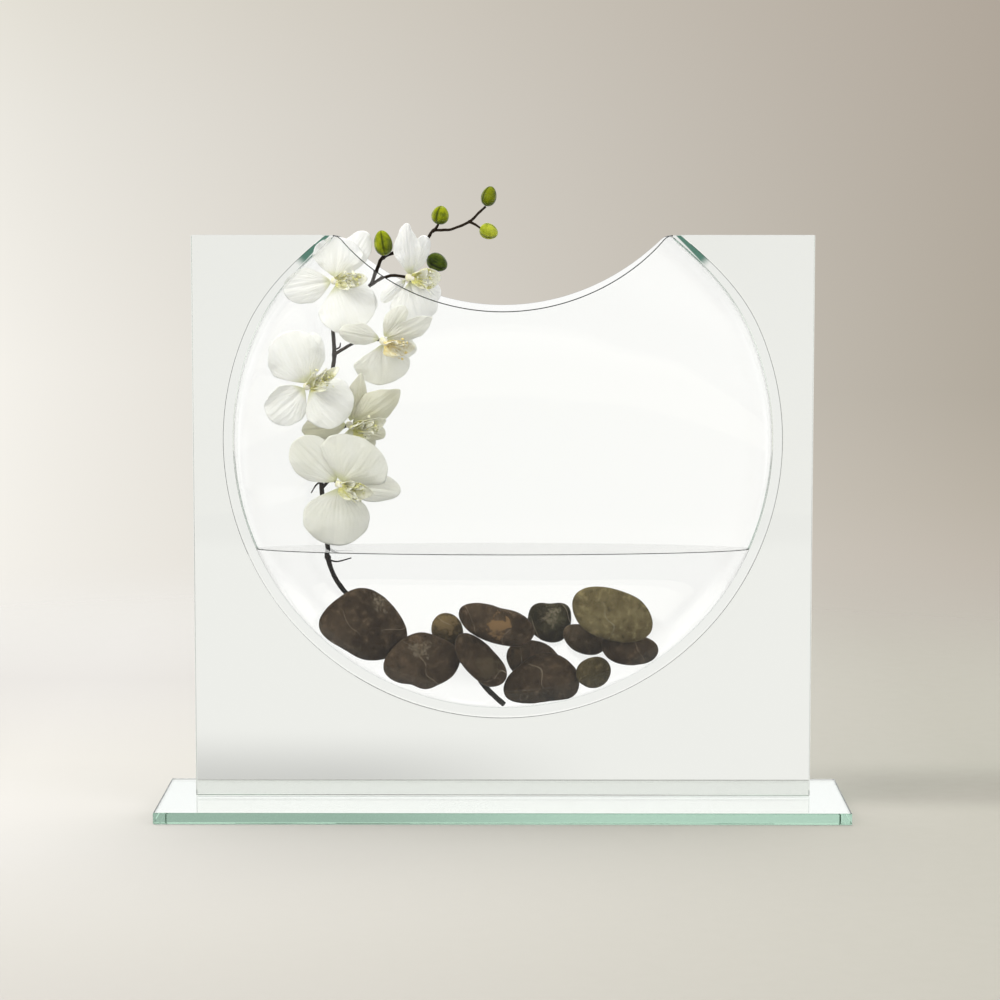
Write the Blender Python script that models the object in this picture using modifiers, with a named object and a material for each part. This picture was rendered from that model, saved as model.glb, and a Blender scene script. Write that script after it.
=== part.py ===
"""Orchid in a glass vase: a clear panel on a base plate holds a purse-shaped bowl with water, river pebbles and
one spray of white moth orchid. Metres, +Z up, the front faces -Y, the origin is under the base plate's middle."""

import math

import bmesh
import bpy
from mathutils import Matrix, Vector
from mathutils.bvhtree import BVHTree

MM = 0.001
GAP = 0.3 * MM
WELD = 0.001 * MM

# Base plate and upright panel, both cut from the same clear plate
PLATE = 10 * MM
PLATE_BEVEL = 0.6 * MM
BASE_WIDTH = 600 * MM
BASE_DEPTH = 158 * MM
PANEL_WIDTH = 540 * MM
PANEL_TOP = 502.6 * MM
PANEL_BOTTOM = PLATE + GAP

# The round opening in the panel and the bowl in it
BOWL_Z = 323.4 * MM
OPENING_RADIUS = 243.5 * MM
CAVITY_RADIUS = 234.5 * MM
SHOULDER_START = math.radians(24)
SHOULDER_SPAN = math.radians(26)
OPENING_SHOULDER = 0.030
CAVITY_SHOULDER = 0.020
HALF_DEPTH = 59.1 * MM
DEPTH_RISE = 0.095
WALL = 5 * MM
OPENING_STEPS = 72
BOWL_SEGMENTS = 48
BOWL_RINGS = 14
RING_CROWDING = 1.5

# The mouth: a round scoop out of the bowl's top, with a rounded horn on either side
MOUTH_RADIUS = 191 * MM
MOUTH_BOTTOM = 439.3 * MM
MOUTH_Z = MOUTH_BOTTOM + MOUTH_RADIUS
HORN_TOP = PANEL_TOP - GAP
HORN_RADIUS = 12 * MM
CUTTER_REACH = 120 * MM
SCOOP_STEPS = 24
HORN_STEPS = 4

WATER_LEVEL = 229.5 * MM
ROOM_ROUND_PEBBLE = 1.2 * MM
ROOM_ROUND_STEM = 0.6 * MM
SEAT_GAP = 0.35 * MM
SETTLE_STEP = 0.25 * MM

STEM_RADIUS = 2.4 * MM
STALK_RADIUS = 1.3 * MM
TWIG_RADIUS = 0.9 * MM
KNOB_RADIUS = 3.2 * MM
PETAL_THICKNESS = 0.8 * MM

# The stem from its cut end in the pebbles to the topmost bud, in mm: x, y, z
STEM_ROUTE = (
    (1, 1, 93), (-14, 8.5, 107), (-33, 13.5, 130), (-60, 17, 138), (-92, 19, 152), (-112, 20.5, 168),
    (-127, 21.5, 182), (-139, 19.5, 194), (-147, 13.5, 208), (-151.5, 8, 223), (-154, 7, 240),
    (-158, 12, 281), (-158.5, 16, 312),
    (-155, 17, 348), (-149, 17, 380), (-146.5, 17, 398), (-147.5, 17, 421), (-144, 16, 437), (-131, 14, 448),
    (-115, 13, 458), (-109, 13, 474), (-104, 14, 483), (-89, 20, 488.5), (-75, 22, 493.5), (-66, 21, 499),
    (-61, 18, 505.5), (-52, 14, 506.5), (-44, 12, 507.5), (-29, 8, 514), (-21, 5, 521.5), (-15, 3, 527),
)

# Side branches of the stem, in mm: thickness at the root and at the end, then the points
BRANCHES = {
    "twig_at_water": (TWIG_RADIUS, 0.6 * MM, ((-150.8, 9, 220.5), (-143, 4, 219.5), (-131, 0, 223))),
    "twig_above_water": (TWIG_RADIUS, 0.6 * MM, ((-158, 12, 288), (-163, 10, 284), (-167, 8, 277.5))),
    "twig_at_fork": (TWIG_RADIUS, 0.6 * MM, ((-146.5, 17, 402), (-142, 15, 404), (-141, 14, 408))),
    "stalk_of_bud_by_the_rim": (STALK_RADIUS, 1.1 * MM, ((-104, 14, 482.5), (-103.5, 10, 483), (-103.4, 7.2, 483.5))),
    "stalk_of_middle_bud": (STALK_RADIUS, 0.9 * MM, ((-61, 18, 505.5), (-58, 15, 508.5), (-56.2, 14, 510.6))),
    "stalk_of_right_bud": (STALK_RADIUS, 0.9 * MM, ((-29, 8, 514), (-24, 7.5, 511.5), (-20.2, 7, 508.5))),
    "stalk_of_rear_bud": (STALK_RADIUS, 0.9 * MM, ((-75, 22, 493.5), (-70, 24, 489), (-66, 25, 483.2))),
}


def shoulder_scale(angle, amount):
    """How far the outline is drawn in at this angle, since the bowl and its opening narrow towards the top."""
    rise = math.asin(math.sin(angle))
    share = min(max((rise - SHOULDER_START) / SHOULDER_SPAN, 0), 1)
    return 1 - amount * share * share * (3 - 2 * share)


def opening_point(angle, radius):
    reach = radius * shoulder_scale(angle, OPENING_SHOULDER)
    return reach * math.cos(angle), BOWL_Z + reach * math.sin(angle)


def half_depth(z):
    """Half of the bowl's inner depth, front to back, on its middle line at this height."""
    return HALF_DEPTH + DEPTH_RISE * (z - BOWL_Z)


def half_depth_at(x, z):
    """Half of the bowl's inner depth at this place, or 0 outside the cavity's outline."""
    share = 1 - math.hypot(x, z - BOWL_Z) ** 2 / CAVITY_RADIUS**2
    return half_depth(z) * math.sqrt(max(share, 0))


def clear_scene():
    for obj in list(bpy.data.objects):
        bpy.data.objects.remove(obj, do_unlink=True)


def new_collection(name):
    collection = bpy.data.collections.new(name)
    bpy.context.scene.collection.children.link(collection)
    return collection


def make_material(name, colour, roughness, transmission=0.0, ior=1.45):
    material = bpy.data.materials.new(name)
    material.use_nodes = True
    shader = material.node_tree.nodes["Principled BSDF"]
    shader.inputs["Base Color"].default_value = (*colour, 1)
    shader.inputs["Roughness"].default_value = roughness
    shader.inputs["Metallic"].default_value = 0
    shader.inputs["Transmission Weight"].default_value = transmission
    shader.inputs["IOR"].default_value = ior
    material.diffuse_color = (*colour, 1)
    return material


def add_object(name, data, collection, material=None):
    obj = bpy.data.objects.new(name, data)
    collection.objects.link(obj)
    if material:
        data.materials.clear()
        data.materials.append(material)
    return obj


def mesh_object(name, bm, collection, material=None):
    mesh = bpy.data.meshes.new(name)
    bm.to_mesh(mesh)
    bm.free()
    return add_object(name, mesh, collection, material)


def as_cutter(obj):
    obj.hide_render = True
    obj.display_type = "WIRE"
    return obj


def curve_to_mesh(curve_obj, collection, material=None):
    """Replaces a curve object with a mesh of it whose caps are welded."""
    bpy.context.view_layer.update()
    evaluated = curve_obj.evaluated_get(bpy.context.evaluated_depsgraph_get())
    mesh = bpy.data.meshes.new_from_object(evaluated)
    bm = bmesh.new()
    bm.from_mesh(mesh)
    bmesh.ops.remove_doubles(bm, verts=bm.verts, dist=WELD)
    bm.to_mesh(mesh)
    bm.free()
    name = curve_obj.name
    matrix = curve_obj.matrix_world.copy()
    bpy.data.objects.remove(curve_obj, do_unlink=True)
    obj = add_object(name, mesh, collection, material)
    obj.matrix_world = matrix
    return obj


def outline_solid(name, points, thickness, collection, material=None):
    """A flat outline given in x and z, standing upright and centred on y = 0."""
    curve = bpy.data.curves.new(name, "CURVE")
    curve.dimensions = "2D"
    curve.fill_mode = "BOTH"
    curve.extrude = thickness / 2
    spline = curve.splines.new("POLY")
    spline.points.add(len(points) - 1)
    for point, (x, z) in zip(spline.points, points):
        point.co = (x, z, 0, 1)
    spline.use_cyclic_u = True
    obj = add_object(name, curve, collection)
    obj.rotation_euler = (math.pi / 2, 0, 0)
    return curve_to_mesh(obj, collection, material)


def smooth_route(points, steps):
    """A Catmull-Rom curve through the points, with this many steps from each to the next."""
    route = [Vector(point) * MM for point in points]
    ends = [2 * route[0] - route[1], *route, 2 * route[-1] - route[-2]]
    found = []
    for a, b, c, d in zip(ends, ends[1:], ends[2:], ends[3:]):
        for step in range(steps):
            t = step / steps
            found.append(
                0.5 * (2 * b + (c - a) * t + (2 * a - 5 * b + 4 * c - d) * t**2 + (3 * b - a - 3 * c + d) * t**3)
            )
    return [*found, route[-1]]


def tube(name, route, root_radius, end_radius, collection):
    curve = bpy.data.curves.new(name, "CURVE")
    curve.dimensions = "3D"
    curve.bevel_depth = root_radius
    curve.bevel_resolution = 1
    curve.use_fill_caps = True
    spline = curve.splines.new("POLY")
    spline.points.add(len(route) - 1)
    for i, (point, place) in enumerate(zip(spline.points, route)):
        point.co = (*place, 1)
        point.radius = 1 + (end_radius / root_radius - 1) * i / (len(route) - 1)
    return curve_to_mesh(add_object(name, curve, collection), collection)


def add_boolean(obj, operation, other):
    modifier = obj.modifiers.new(f"{operation.lower()} {other.name}", "BOOLEAN")
    modifier.operation = operation
    modifier.solver = "EXACT"
    modifier.object = other


def build_base(collection, glass):
    bm = bmesh.new()
    bmesh.ops.create_cube(bm, size=1)
    size = Matrix.Diagonal((BASE_WIDTH, BASE_DEPTH, PLATE, 1))
    bm.transform(Matrix.Translation((0, 0, PLATE / 2)) @ size)
    base = mesh_object("base_plate", bm, collection, glass)
    bevel = base.modifiers.new("polished edges", "BEVEL")
    bevel.width = PLATE_BEVEL
    bevel.segments = 1


def build_panel(collection, glass):
    """The upright plate, whose round opening runs out through its top edge."""
    top_angle = math.radians(50)
    while opening_point(top_angle, OPENING_RADIUS)[1] > PANEL_TOP:
        top_angle -= math.radians(0.05)
    sweep = math.pi + 2 * top_angle
    steps = round(OPENING_STEPS * sweep / (2 * math.pi))
    opening = [opening_point(top_angle - sweep * i / steps, OPENING_RADIUS) for i in range(steps + 1)]
    half = PANEL_WIDTH / 2
    lip_x = opening[0][0]
    corners = [(-lip_x, PANEL_TOP), (-half, PANEL_TOP), (-half, PANEL_BOTTOM), (half, PANEL_BOTTOM)]
    corners += [(half, PANEL_TOP), (lip_x, PANEL_TOP)]
    panel = outline_solid("glass_panel", [*corners, *opening[1:-1]], PLATE, collection, glass)
    bevel = panel.modifiers.new("polished edges", "BEVEL")
    bevel.width = PLATE_BEVEL
    bevel.segments = 1
    bevel.limit_method = "ANGLE"
    bevel.angle_limit = math.radians(60)


def egg_mesh(radius, extra_depth):
    """The bowl's round form: a sphere made flat front to back, drawn in at the shoulders and deeper towards the top."""
    bm = bmesh.new()
    bmesh.ops.create_uvsphere(bm, u_segments=BOWL_SEGMENTS, v_segments=BOWL_RINGS, radius=1)
    for vert in bm.verts:
        angle = math.atan2(vert.co.y, vert.co.x)
        share = abs(math.asin(min(max(vert.co.z, -1), 1))) / (math.pi / 2)
        latitude = math.copysign(share**RING_CROWDING * math.pi / 2, vert.co.z)
        reach = radius * shoulder_scale(angle, CAVITY_SHOULDER) * math.cos(latitude)
        x = reach * math.cos(angle)
        z = BOWL_Z + reach * math.sin(angle)
        depth = half_depth(z) + extra_depth
        vert.co = Vector((x, -math.sin(latitude) * depth, z))
    return bm


def mouth_outline():
    """Everything above the horns and inside the scoop, as an outline in x and z."""
    drop = MOUTH_Z - (HORN_TOP - HORN_RADIUS)
    span = MOUTH_RADIUS + HORN_RADIUS
    horn_x = math.sqrt(span**2 - drop**2)
    tangent = math.atan2(-drop, horn_x)
    reach = 2 * OPENING_RADIUS
    half = []
    for i in range(SCOOP_STEPS + 1):
        angle = -math.pi / 2 + (tangent + math.pi / 2) * i / SCOOP_STEPS
        half.append((MOUTH_RADIUS * math.cos(angle), MOUTH_Z + MOUTH_RADIUS * math.sin(angle)))
    start = tangent + math.pi
    for i in range(1, HORN_STEPS + 1):
        angle = start + (math.pi / 2 - start) * i / HORN_STEPS
        half.append((horn_x + HORN_RADIUS * math.cos(angle), HORN_TOP - HORN_RADIUS + HORN_RADIUS * math.sin(angle)))
    half += [(reach, HORN_TOP), (reach, HORN_TOP + reach)]
    mirrored = [(-x, z) for x, z in half[:0:-1]]
    return [*mirrored, *half]


def build_bowl(collection, cutters, glass):
    bowl = mesh_object("glass_bowl", egg_mesh(CAVITY_RADIUS + WALL, WALL), collection, glass)
    radius = OPENING_RADIUS - GAP
    turn = [2 * math.pi * i / OPENING_STEPS for i in range(OPENING_STEPS)]
    rim = as_cutter(outline_solid("bowl_rim", [opening_point(a, radius) for a in turn], PLATE, cutters))
    cavity = as_cutter(mesh_object("bowl_cavity", egg_mesh(CAVITY_RADIUS, 0), cutters))
    mouth = as_cutter(outline_solid("bowl_mouth", mouth_outline(), 2 * CUTTER_REACH, cutters))
    add_boolean(bowl, "UNION", rim)
    add_boolean(bowl, "DIFFERENCE", cavity)
    add_boolean(bowl, "DIFFERENCE", mouth)
    return bowl


def stone_mesh(half_width, half_height, half_thickness, tilt, turn, flat, waist):
    """A river pebble: a rounded lump with one flatter side and a slight waist, tilted and turned into place."""
    bm = bmesh.new()
    bmesh.ops.create_uvsphere(bm, u_segments=14, v_segments=8, radius=1)
    for vert in bm.verts:
        x, z, y = vert.co
        z *= 1 - flat * max(-z, 0) - waist * (1 - x * x)
        z += 0.10 * flat * math.sin(2.3 * x)
        x *= 1 + 0.06 * math.sin(2.0 * z + flat)
        vert.co = (x * half_width, -y * half_thickness, z * half_height)
    bm.transform(Matrix.Rotation(turn, 4, "Z") @ Matrix.Rotation(-tilt, 4, "Y"))
    return bm


# Pebbles, in mm and degrees: x, z, half width, half height, half thickness, tilt in the picture's plane,
# turn of the right end towards the back, flatness, waist, and the glass it leans on (-1 front, 1 back)
PEBBLES = {
    "pebble_big_left": (-122.5, 162.3, 40.3, 33.0, 9.5, -22, 11, 0.10, 0.0, 1),
    "pebble_dark_rounded": (-71, 130.0, 34.2, 28.0, 8.5, -4, 11, 0.15, 0.0, -1),
    "pebble_golden_band": (-6, 165, 34, 20.5, 11, -18, 0, 0.10, 0.10, -1),
    "pebble_long_slanted": (-20, 133, 29, 18.0, 9, -50, 0, 0.10, 0.05, -1),
    "pebble_small_tan": (-48, 157, 14, 17, 8, 15, 0, 0.0, 0.0, 1),
    "pebble_wide_bottom": (34.5, 115, 34.0, 25.0, 8, 8, 10, 0.15, 0.0, -1),
    "pebble_round_behind": (26, 132, 24, 18.5, 7, -10, 0, 0.0, 0.0, 1),
    "pebble_green_veined": (41, 164.6, 19.3, 18.3, 10, 10, 0, 0.0, 0.0, 1),
    "pebble_small_dark": (71, 149.5, 20, 14, 8, -20, 6, 0.10, 0.0, 1),
    "pebble_long_dark": (110, 142.5, 25.5, 17.5, 8.5, -8, 8, 0.05, 0.10, 1),
    "pebble_little_round": (79, 121.5, 15.5, 15.0, 6, 0, 0, 0.05, 0.0, -1),
    "pebble_mossy_oval": (94.3, 172.7, 35.8, 26.0, 11, -18, 0, 0.15, 0.0, -1),
}


def world_shape(obj, grow=0.0):
    """The evaluated object's points and faces in world space, with each point moved outwards by grow."""
    bpy.context.view_layer.update()
    evaluated = obj.evaluated_get(bpy.context.evaluated_depsgraph_get())
    mesh = evaluated.to_mesh()
    points = [obj.matrix_world @ (vert.co + vert.normal * grow) for vert in mesh.vertices]
    faces = [tuple(face.vertices) for face in mesh.polygons]
    evaluated.to_mesh_clear()
    return points, faces


def settle(stone, resting, lean):
    """Moves a pebble from the middle of the bowl's depth towards the front or back glass, to its last free place."""
    points, faces = world_shape(stone, SEAT_GAP)
    reach = half_depth_at(stone.location.x, stone.location.z)
    steps = round(2 * reach / SETTLE_STEP)
    for i in range(steps):
        shift = Vector((0, lean * (reach - i * SETTLE_STEP), 0))
        tree = BVHTree.FromPolygons([point + shift for point in points], faces)
        if not any(tree.overlap(other) for other in resting):
            stone.location.y = shift.y
            return
    raise ValueError(f"{stone.name} finds no room between the glass and the other pebbles")


def build_pebbles(collection, cutters, bowl, stem, materials):
    """Lays the pebbles in the bowl one after the other and returns a slightly larger cutter for each."""
    resting = [BVHTree.FromPolygons(*world_shape(obj)) for obj in (bowl, stem)]
    grown = []
    for name, (x, z, width, height, thickness, tilt, turn, flat, waist, lean) in PEBBLES.items():
        angles = math.radians(tilt), math.radians(turn)
        bm = stone_mesh(width * MM, height * MM, thickness * MM, *angles, flat, waist)
        stone = mesh_object(name, bm, collection, materials[name])
        stone.location = (x * MM, 0, z * MM)
        settle(stone, resting, lean)
        resting.append(BVHTree.FromPolygons(*world_shape(stone)))
        cutter = bmesh.new()
        cutter.from_mesh(stone.data)
        cutter.normal_update()
        for vert in cutter.verts:
            vert.co += vert.normal * ROOM_ROUND_PEBBLE
        cutter.transform(stone.matrix_world)
        grown.append(as_cutter(mesh_object(f"room_for_{name}", cutter, cutters)))
    return grown


def build_water(collection, cutters, grown, water):
    """The water: the cavity up to the water level, less the room that the pebbles and the stem take up."""
    bm = egg_mesh(CAVITY_RADIUS - GAP, -GAP)
    body = mesh_object("water_body", bm, cutters)
    above = bmesh.new()
    bmesh.ops.create_cube(above, size=1)
    height = 2 * OPENING_RADIUS
    air = Matrix.Translation((0, 0, WATER_LEVEL + height / 2)) @ Matrix.Diagonal((BASE_WIDTH, height, height, 1))
    above.transform(air)
    add_boolean(body, "DIFFERENCE", as_cutter(mesh_object("air_above_water", above, cutters)))
    near_water = [point for point in STEM_ROUTE if point[2] * MM < WATER_LEVEL + CAVITY_RADIUS / 10]
    stem_radius = STEM_RADIUS + ROOM_ROUND_STEM
    stem_room = tube("room_for_stem", smooth_route(near_water, 1), stem_radius, stem_radius, cutters)
    twig_points = BRANCHES["twig_at_water"][2]
    twig_radius = TWIG_RADIUS + ROOM_ROUND_STEM
    twig_room = tube("room_for_twig", smooth_route(twig_points, 2), twig_radius, twig_radius, cutters)
    for cutter in [*grown, as_cutter(stem_room), as_cutter(twig_room)]:
        add_boolean(body, "DIFFERENCE", cutter)
    keep_largest_body(body, "water", collection, water)


def keep_largest_body(source, name, collection, material):
    """Writes the largest closed body of an evaluated object as its own object, without the small pockets."""
    bpy.context.view_layer.update()
    mesh = bpy.data.meshes.new_from_object(source.evaluated_get(bpy.context.evaluated_depsgraph_get()))
    bm = bmesh.new()
    bm.from_mesh(mesh)
    bmesh.ops.remove_doubles(bm, verts=bm.verts, dist=WELD)
    left = set(bm.verts)
    bodies = []
    while left:
        body = set()
        queue = [left.pop()]
        while queue:
            vert = queue.pop()
            body.add(vert)
            for edge in vert.link_edges:
                other = edge.other_vert(vert)
                if other in left:
                    left.discard(other)
                    queue.append(other)
        bodies.append(body)
    bodies.sort(key=len)
    for body in bodies[:-1]:
        bmesh.ops.delete(bm, geom=list(body), context="VERTS")
    bpy.data.objects.remove(source, do_unlink=True)
    return mesh_object(name, bm, collection, material)


def petal_mesh(length, width, cells, claw, bow, curl):
    """One petal as an open sheet along +X, facing -Y: claw is its width at the root as a share of its width."""
    bm = bmesh.new()
    bmesh.ops.create_grid(bm, x_segments=cells, y_segments=cells, size=1)
    for vert in bm.verts:
        s, t, _ = vert.co
        along = 0.5 * (1 + s * math.sqrt(1 - t * t / 2))
        across = t * math.sqrt(1 - s * s / 2)
        spread = claw + (1 - claw) * math.sin(math.pi / 2 * min(along / 0.55, 1))
        across *= spread
        height = 4 * bow * along * (1 - along) - curl * across * across
        vert.co = (along * length, -height, across * width / 2)
    return bm


def add_petal(name, bloom_turn, angle, size, lift, seat, form, collection, material):
    """Places a petal round the knob: angle is in the flower's face, lift tips its end towards the front."""
    length, width = size
    bm = petal_mesh(length * MM, width * MM, *form)
    around = Matrix.Rotation(-math.radians(angle), 4, "Y")
    tip = Matrix.Rotation(-math.radians(lift), 4, "Z")
    bm.transform(bloom_turn @ around @ Matrix.Translation(Vector(seat) * MM) @ tip)
    petal = mesh_object(name, bm, collection, material)
    solidify = petal.modifiers.new("thickness", "SOLIDIFY")
    solidify.thickness = PETAL_THICKNESS
    solidify.offset = 0


# For each kind of piece: cells along and across, width at the root as a share, bow and backward curl of the sides
FORMS = {
    "sepal": (4, 0.45, 1.5 * MM, 3.0 * MM),
    "petal": (5, 0.30, 3.0 * MM, 4.0 * MM),
    "lip": (5, 0.50, 2.0 * MM, -5.0 * MM),
}

# Where the root of each kind sits from the knob's middle, in mm: along the piece, then front (-) to back
SEATS = {"sepal": (3.45, 0.95, 0), "petal": (3.45, -0.95, 0), "lip": (0.8, -3.9, 0)}

# Blooms, in mm and degrees: the knob's place, how far the face turns down and to the right,
# then for each piece its angle, length, width and lift
BLOOMS = {
    "bloom_1": ((-145, -3, 462.5), 0, 6, {
        "dorsal_sepal": (192, 39, 25, 0), "upper_sepal": (56, 48, 26, -7), "lower_sepal": (-35, 40, 26, -2),
        "upper_petal": (75, 33, 37, -3), "lower_petal": (-65, 43, 51, 4), "lip": (5, 28, 15, 18)}),
    "bloom_2": ((-82, 6, 465.5), 4, 30, {
        "dorsal_sepal": (208, 27, 22, 0), "upper_sepal": (62, 37, 20, -4), "lower_sepal": (-28, 34, 22, -2),
        "upper_petal": (82, 44, 30, 2), "lower_petal": (-77, 42, 50, 6), "lip": (2, 26, 20, 18)}),
    "bloom_3": ((-103.5, -6, 411.5), 28, 12, {
        "dorsal_sepal": (165, 32, 28, 0), "upper_sepal": (62, 33, 20, -4), "lower_sepal": (-26, 30, 22, -2),
        "upper_petal": (33, 40, 30, 2), "lower_petal": (-87, 38, 50, 6), "lip": (0, 27, 17, 18)}),
    "bloom_4": ((-169, -9, 372), 4, 6, {
        "dorsal_sepal": (221, 39, 28, 0), "upper_sepal": (70, 44, 26, -3), "lower_sepal": (-12, 29, 22, -2),
        "upper_petal": (114, 48, 48, 4), "lower_petal": (-38, 41, 46, 6), "lip": (33, 32, 12, 16)}),
    "bloom_5": ((-133, 7, 337.5), 28, 12, {
        "dorsal_sepal": (185, 36, 24, 0), "upper_sepal": (82, 45, 20, -4), "lower_sepal": (-24, 32, 20, -2),
        "upper_petal": (42, 50, 32, 2), "lower_petal": (-78, 34, 40, 4), "lip": (25, 32, 18, 18)}),
    "bloom_6": ((-142, -12, 287.5), 10, 6, {
        "dorsal_sepal": (138, 49, 38, 0), "upper_sepal": (-8, 51, 26, -2), "lower_sepal": (-66, 36, 18, -2),
        "upper_petal": (58, 43, 64, 4), "lower_petal": (-94, 51, 62, 4), "lip": (-10, 30, 17, 18)}),
}


def build_bloom(name, collection, materials):
    centre, turn_down, turn_right, pieces = BLOOMS[name]
    turn = Matrix.Rotation(math.radians(turn_right), 4, "Z") @ Matrix.Rotation(math.radians(turn_down), 4, "X")
    bloom_turn = Matrix.Translation(Vector(centre) * MM) @ turn
    for piece, (angle, length, width, lift) in pieces.items():
        kind = piece.split("_")[-1]
        add_petal(
            f"{name}_{piece}", bloom_turn, angle, (length, width), lift, SEATS[kind], FORMS[kind],
            collection, materials[kind],
        )


# A flower stalk leaves the stem about this far behind its knob, in mm, and its middle is arched by this much
STALK_REACH = Vector((0, 8, 0))
STALK_ARCH = Vector((0, 4, 5))


def build_stem(collection, cutters, material):
    """The stem with its twigs, bud stalks and flower stalks, each flower stalk ending in a small knob."""
    stem = tube("orchid_stem", smooth_route(STEM_ROUTE, 1), STEM_RADIUS, 1.1 * MM, collection)
    stem.data.materials.append(material)
    side_branches = bpy.data.collections.new("side branches")
    cutters.children.link(side_branches)
    for name, (root, end, points) in BRANCHES.items():
        as_cutter(tube(name, smooth_route(points, 2), root, end, side_branches))
    for name, bloom in BLOOMS.items():
        knob = Vector(bloom[0])
        below = [Vector(point) for point in STEM_ROUTE if point[2] < knob.z]
        root = min(below, key=lambda point: (point - knob - STALK_REACH).length)
        middle = (root + knob) / 2 + STALK_ARCH
        stalk = smooth_route((root, middle, knob + Vector((0, 4, 0)), knob), 1)
        as_cutter(tube(f"stalk_of_{name}", stalk, STALK_RADIUS, STALK_RADIUS, side_branches))
        bm = bmesh.new()
        bmesh.ops.create_uvsphere(bm, u_segments=8, v_segments=6, radius=KNOB_RADIUS)
        ball = as_cutter(mesh_object(f"knob_of_{name}", bm, side_branches))
        ball.location = knob * MM
    join = stem.modifiers.new("join side branches", "BOOLEAN")
    join.operation = "UNION"
    join.solver = "EXACT"
    join.operand_type = "COLLECTION"
    join.collection = side_branches
    return stem


# Buds, in mm and degrees: the centre, half length, half width and the angle of the tip in the picture's plane
BUDS = {
    "bud_by_the_rim": ((-104, 6, 495.5), 11.3, 8.2, 100),
    "bud_middle": ((-54.5, 14, 519.4), 8.4, 7.8, 80),
    "bud_tip": ((-12, 2.5, 536), 9.0, 6.8, 75),
    "bud_right": ((-12.2, 7, 505.5), 8.4, 7.0, -20),
    "bud_rear": ((-57.5, 26, 478), 9.8, 8.0, -30),
}


def build_bud(name, collection, material):
    centre, half_length, half_width, angle = BUDS[name]
    bm = bmesh.new()
    bmesh.ops.create_uvsphere(bm, u_segments=10, v_segments=8, radius=1)
    for vert in bm.verts:
        x, y, z = vert.co
        taper = half_width * (1 - 0.12 * z)
        vert.co = (z * half_length, x * taper, y * taper)
    bm.transform(Matrix.Rotation(-math.radians(angle), 4, "Y") @ Matrix.Scale(MM, 4))
    bud = mesh_object(name, bm, collection, material)
    bud.location = Vector(centre) * MM


def main():
    clear_scene()
    parts = new_collection("orchid in glass vase")
    cutters = new_collection("cutters")
    clear_glass = make_material("clear_glass", (0.93, 0.98, 0.96), 0.02, 1.0, 1.5)
    bowl_glass = make_material("bowl_glass", (0.97, 0.99, 0.98), 0.02, 1.0, 1.5)
    build_base(parts, clear_glass)
    build_panel(parts, clear_glass)
    bowl = build_bowl(parts, cutters, bowl_glass)
    stem = build_stem(parts, cutters, make_material("woody_stem", (0.06, 0.035, 0.025), 0.6))
    dark = make_material("dark_pebble", (0.075, 0.06, 0.05), 0.35)
    tan = make_material("tan_pebble", (0.20, 0.16, 0.09), 0.4)
    green = make_material("green_pebble", (0.07, 0.08, 0.055), 0.35)
    mossy = make_material("mossy_pebble", (0.15, 0.14, 0.075), 0.4)
    stones = dict.fromkeys(PEBBLES, dark)
    stones.update(pebble_small_tan=tan, pebble_golden_band=tan, pebble_green_veined=green)
    stones.update(pebble_little_round=mossy, pebble_mossy_oval=mossy)
    grown = build_pebbles(parts, cutters, bowl, stem, stones)
    build_water(parts, cutters, grown, make_material("water", (0.97, 0.99, 1.0), 0.0, 1.0, 1.33))
    white = make_material("white_petal", (0.86, 0.87, 0.82), 0.5)
    materials = {"sepal": white, "petal": white, "lip": make_material("yellow_lip", (0.75, 0.72, 0.42), 0.5)}
    for name in BLOOMS:
        build_bloom(name, parts, materials)
    bud_green = make_material("green_bud", (0.24, 0.33, 0.03), 0.35)
    for name in BUDS:
        build_bud(name, parts, bud_green)


main()
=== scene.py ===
import math

import bmesh
import bpy
import numpy as np
from mathutils import Matrix, Vector


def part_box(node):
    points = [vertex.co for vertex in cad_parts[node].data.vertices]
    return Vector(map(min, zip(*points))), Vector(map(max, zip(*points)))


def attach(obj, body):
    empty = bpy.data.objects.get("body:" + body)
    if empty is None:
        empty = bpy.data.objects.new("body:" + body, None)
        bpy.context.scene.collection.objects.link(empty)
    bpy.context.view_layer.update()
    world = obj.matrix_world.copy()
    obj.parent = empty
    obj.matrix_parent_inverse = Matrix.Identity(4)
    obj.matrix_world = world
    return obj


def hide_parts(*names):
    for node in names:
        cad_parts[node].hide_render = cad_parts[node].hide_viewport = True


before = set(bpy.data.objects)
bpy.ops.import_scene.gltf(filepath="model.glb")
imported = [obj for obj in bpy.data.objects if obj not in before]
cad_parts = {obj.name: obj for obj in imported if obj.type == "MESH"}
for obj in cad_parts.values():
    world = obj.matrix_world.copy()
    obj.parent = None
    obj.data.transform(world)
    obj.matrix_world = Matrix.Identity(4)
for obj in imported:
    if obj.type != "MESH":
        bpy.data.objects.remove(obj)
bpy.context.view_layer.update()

SCENE = bpy.context.scene
MM = 0.001
BODY = "root"

# ---- sizes shared with the CAD model, in metres
GAP = 0.3 * MM
PLATE, PLATE_BEVEL = 10 * MM, 0.6 * MM
PANEL_HALF_WIDTH, PANEL_BOTTOM, PANEL_TOP = 270 * MM, 10.3 * MM, 502.6 * MM
BOWL_Z = 323.4 * MM
OPENING_RADIUS, CAVITY_RADIUS = 243.5 * MM, 234.5 * MM
WALL = 5 * MM
# Round form: drawn in at the shoulders by a share of its radius, deeper by a share of the height over BOWL_Z
SHOULDER_START, SHOULDER_SPAN = math.radians(24), math.radians(26)
OPENING_SHOULDER, CAVITY_SHOULDER = 0.030, 0.020
HALF_DEPTH, DEPTH_RISE = 59.1 * MM, 0.095
MOUTH_RADIUS, MOUTH_Z = 191 * MM, 630.3 * MM
HORN_RADIUS, HORN_TOP = 12 * MM, PANEL_TOP - GAP
WATER_LEVEL = 229.5 * MM

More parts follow.
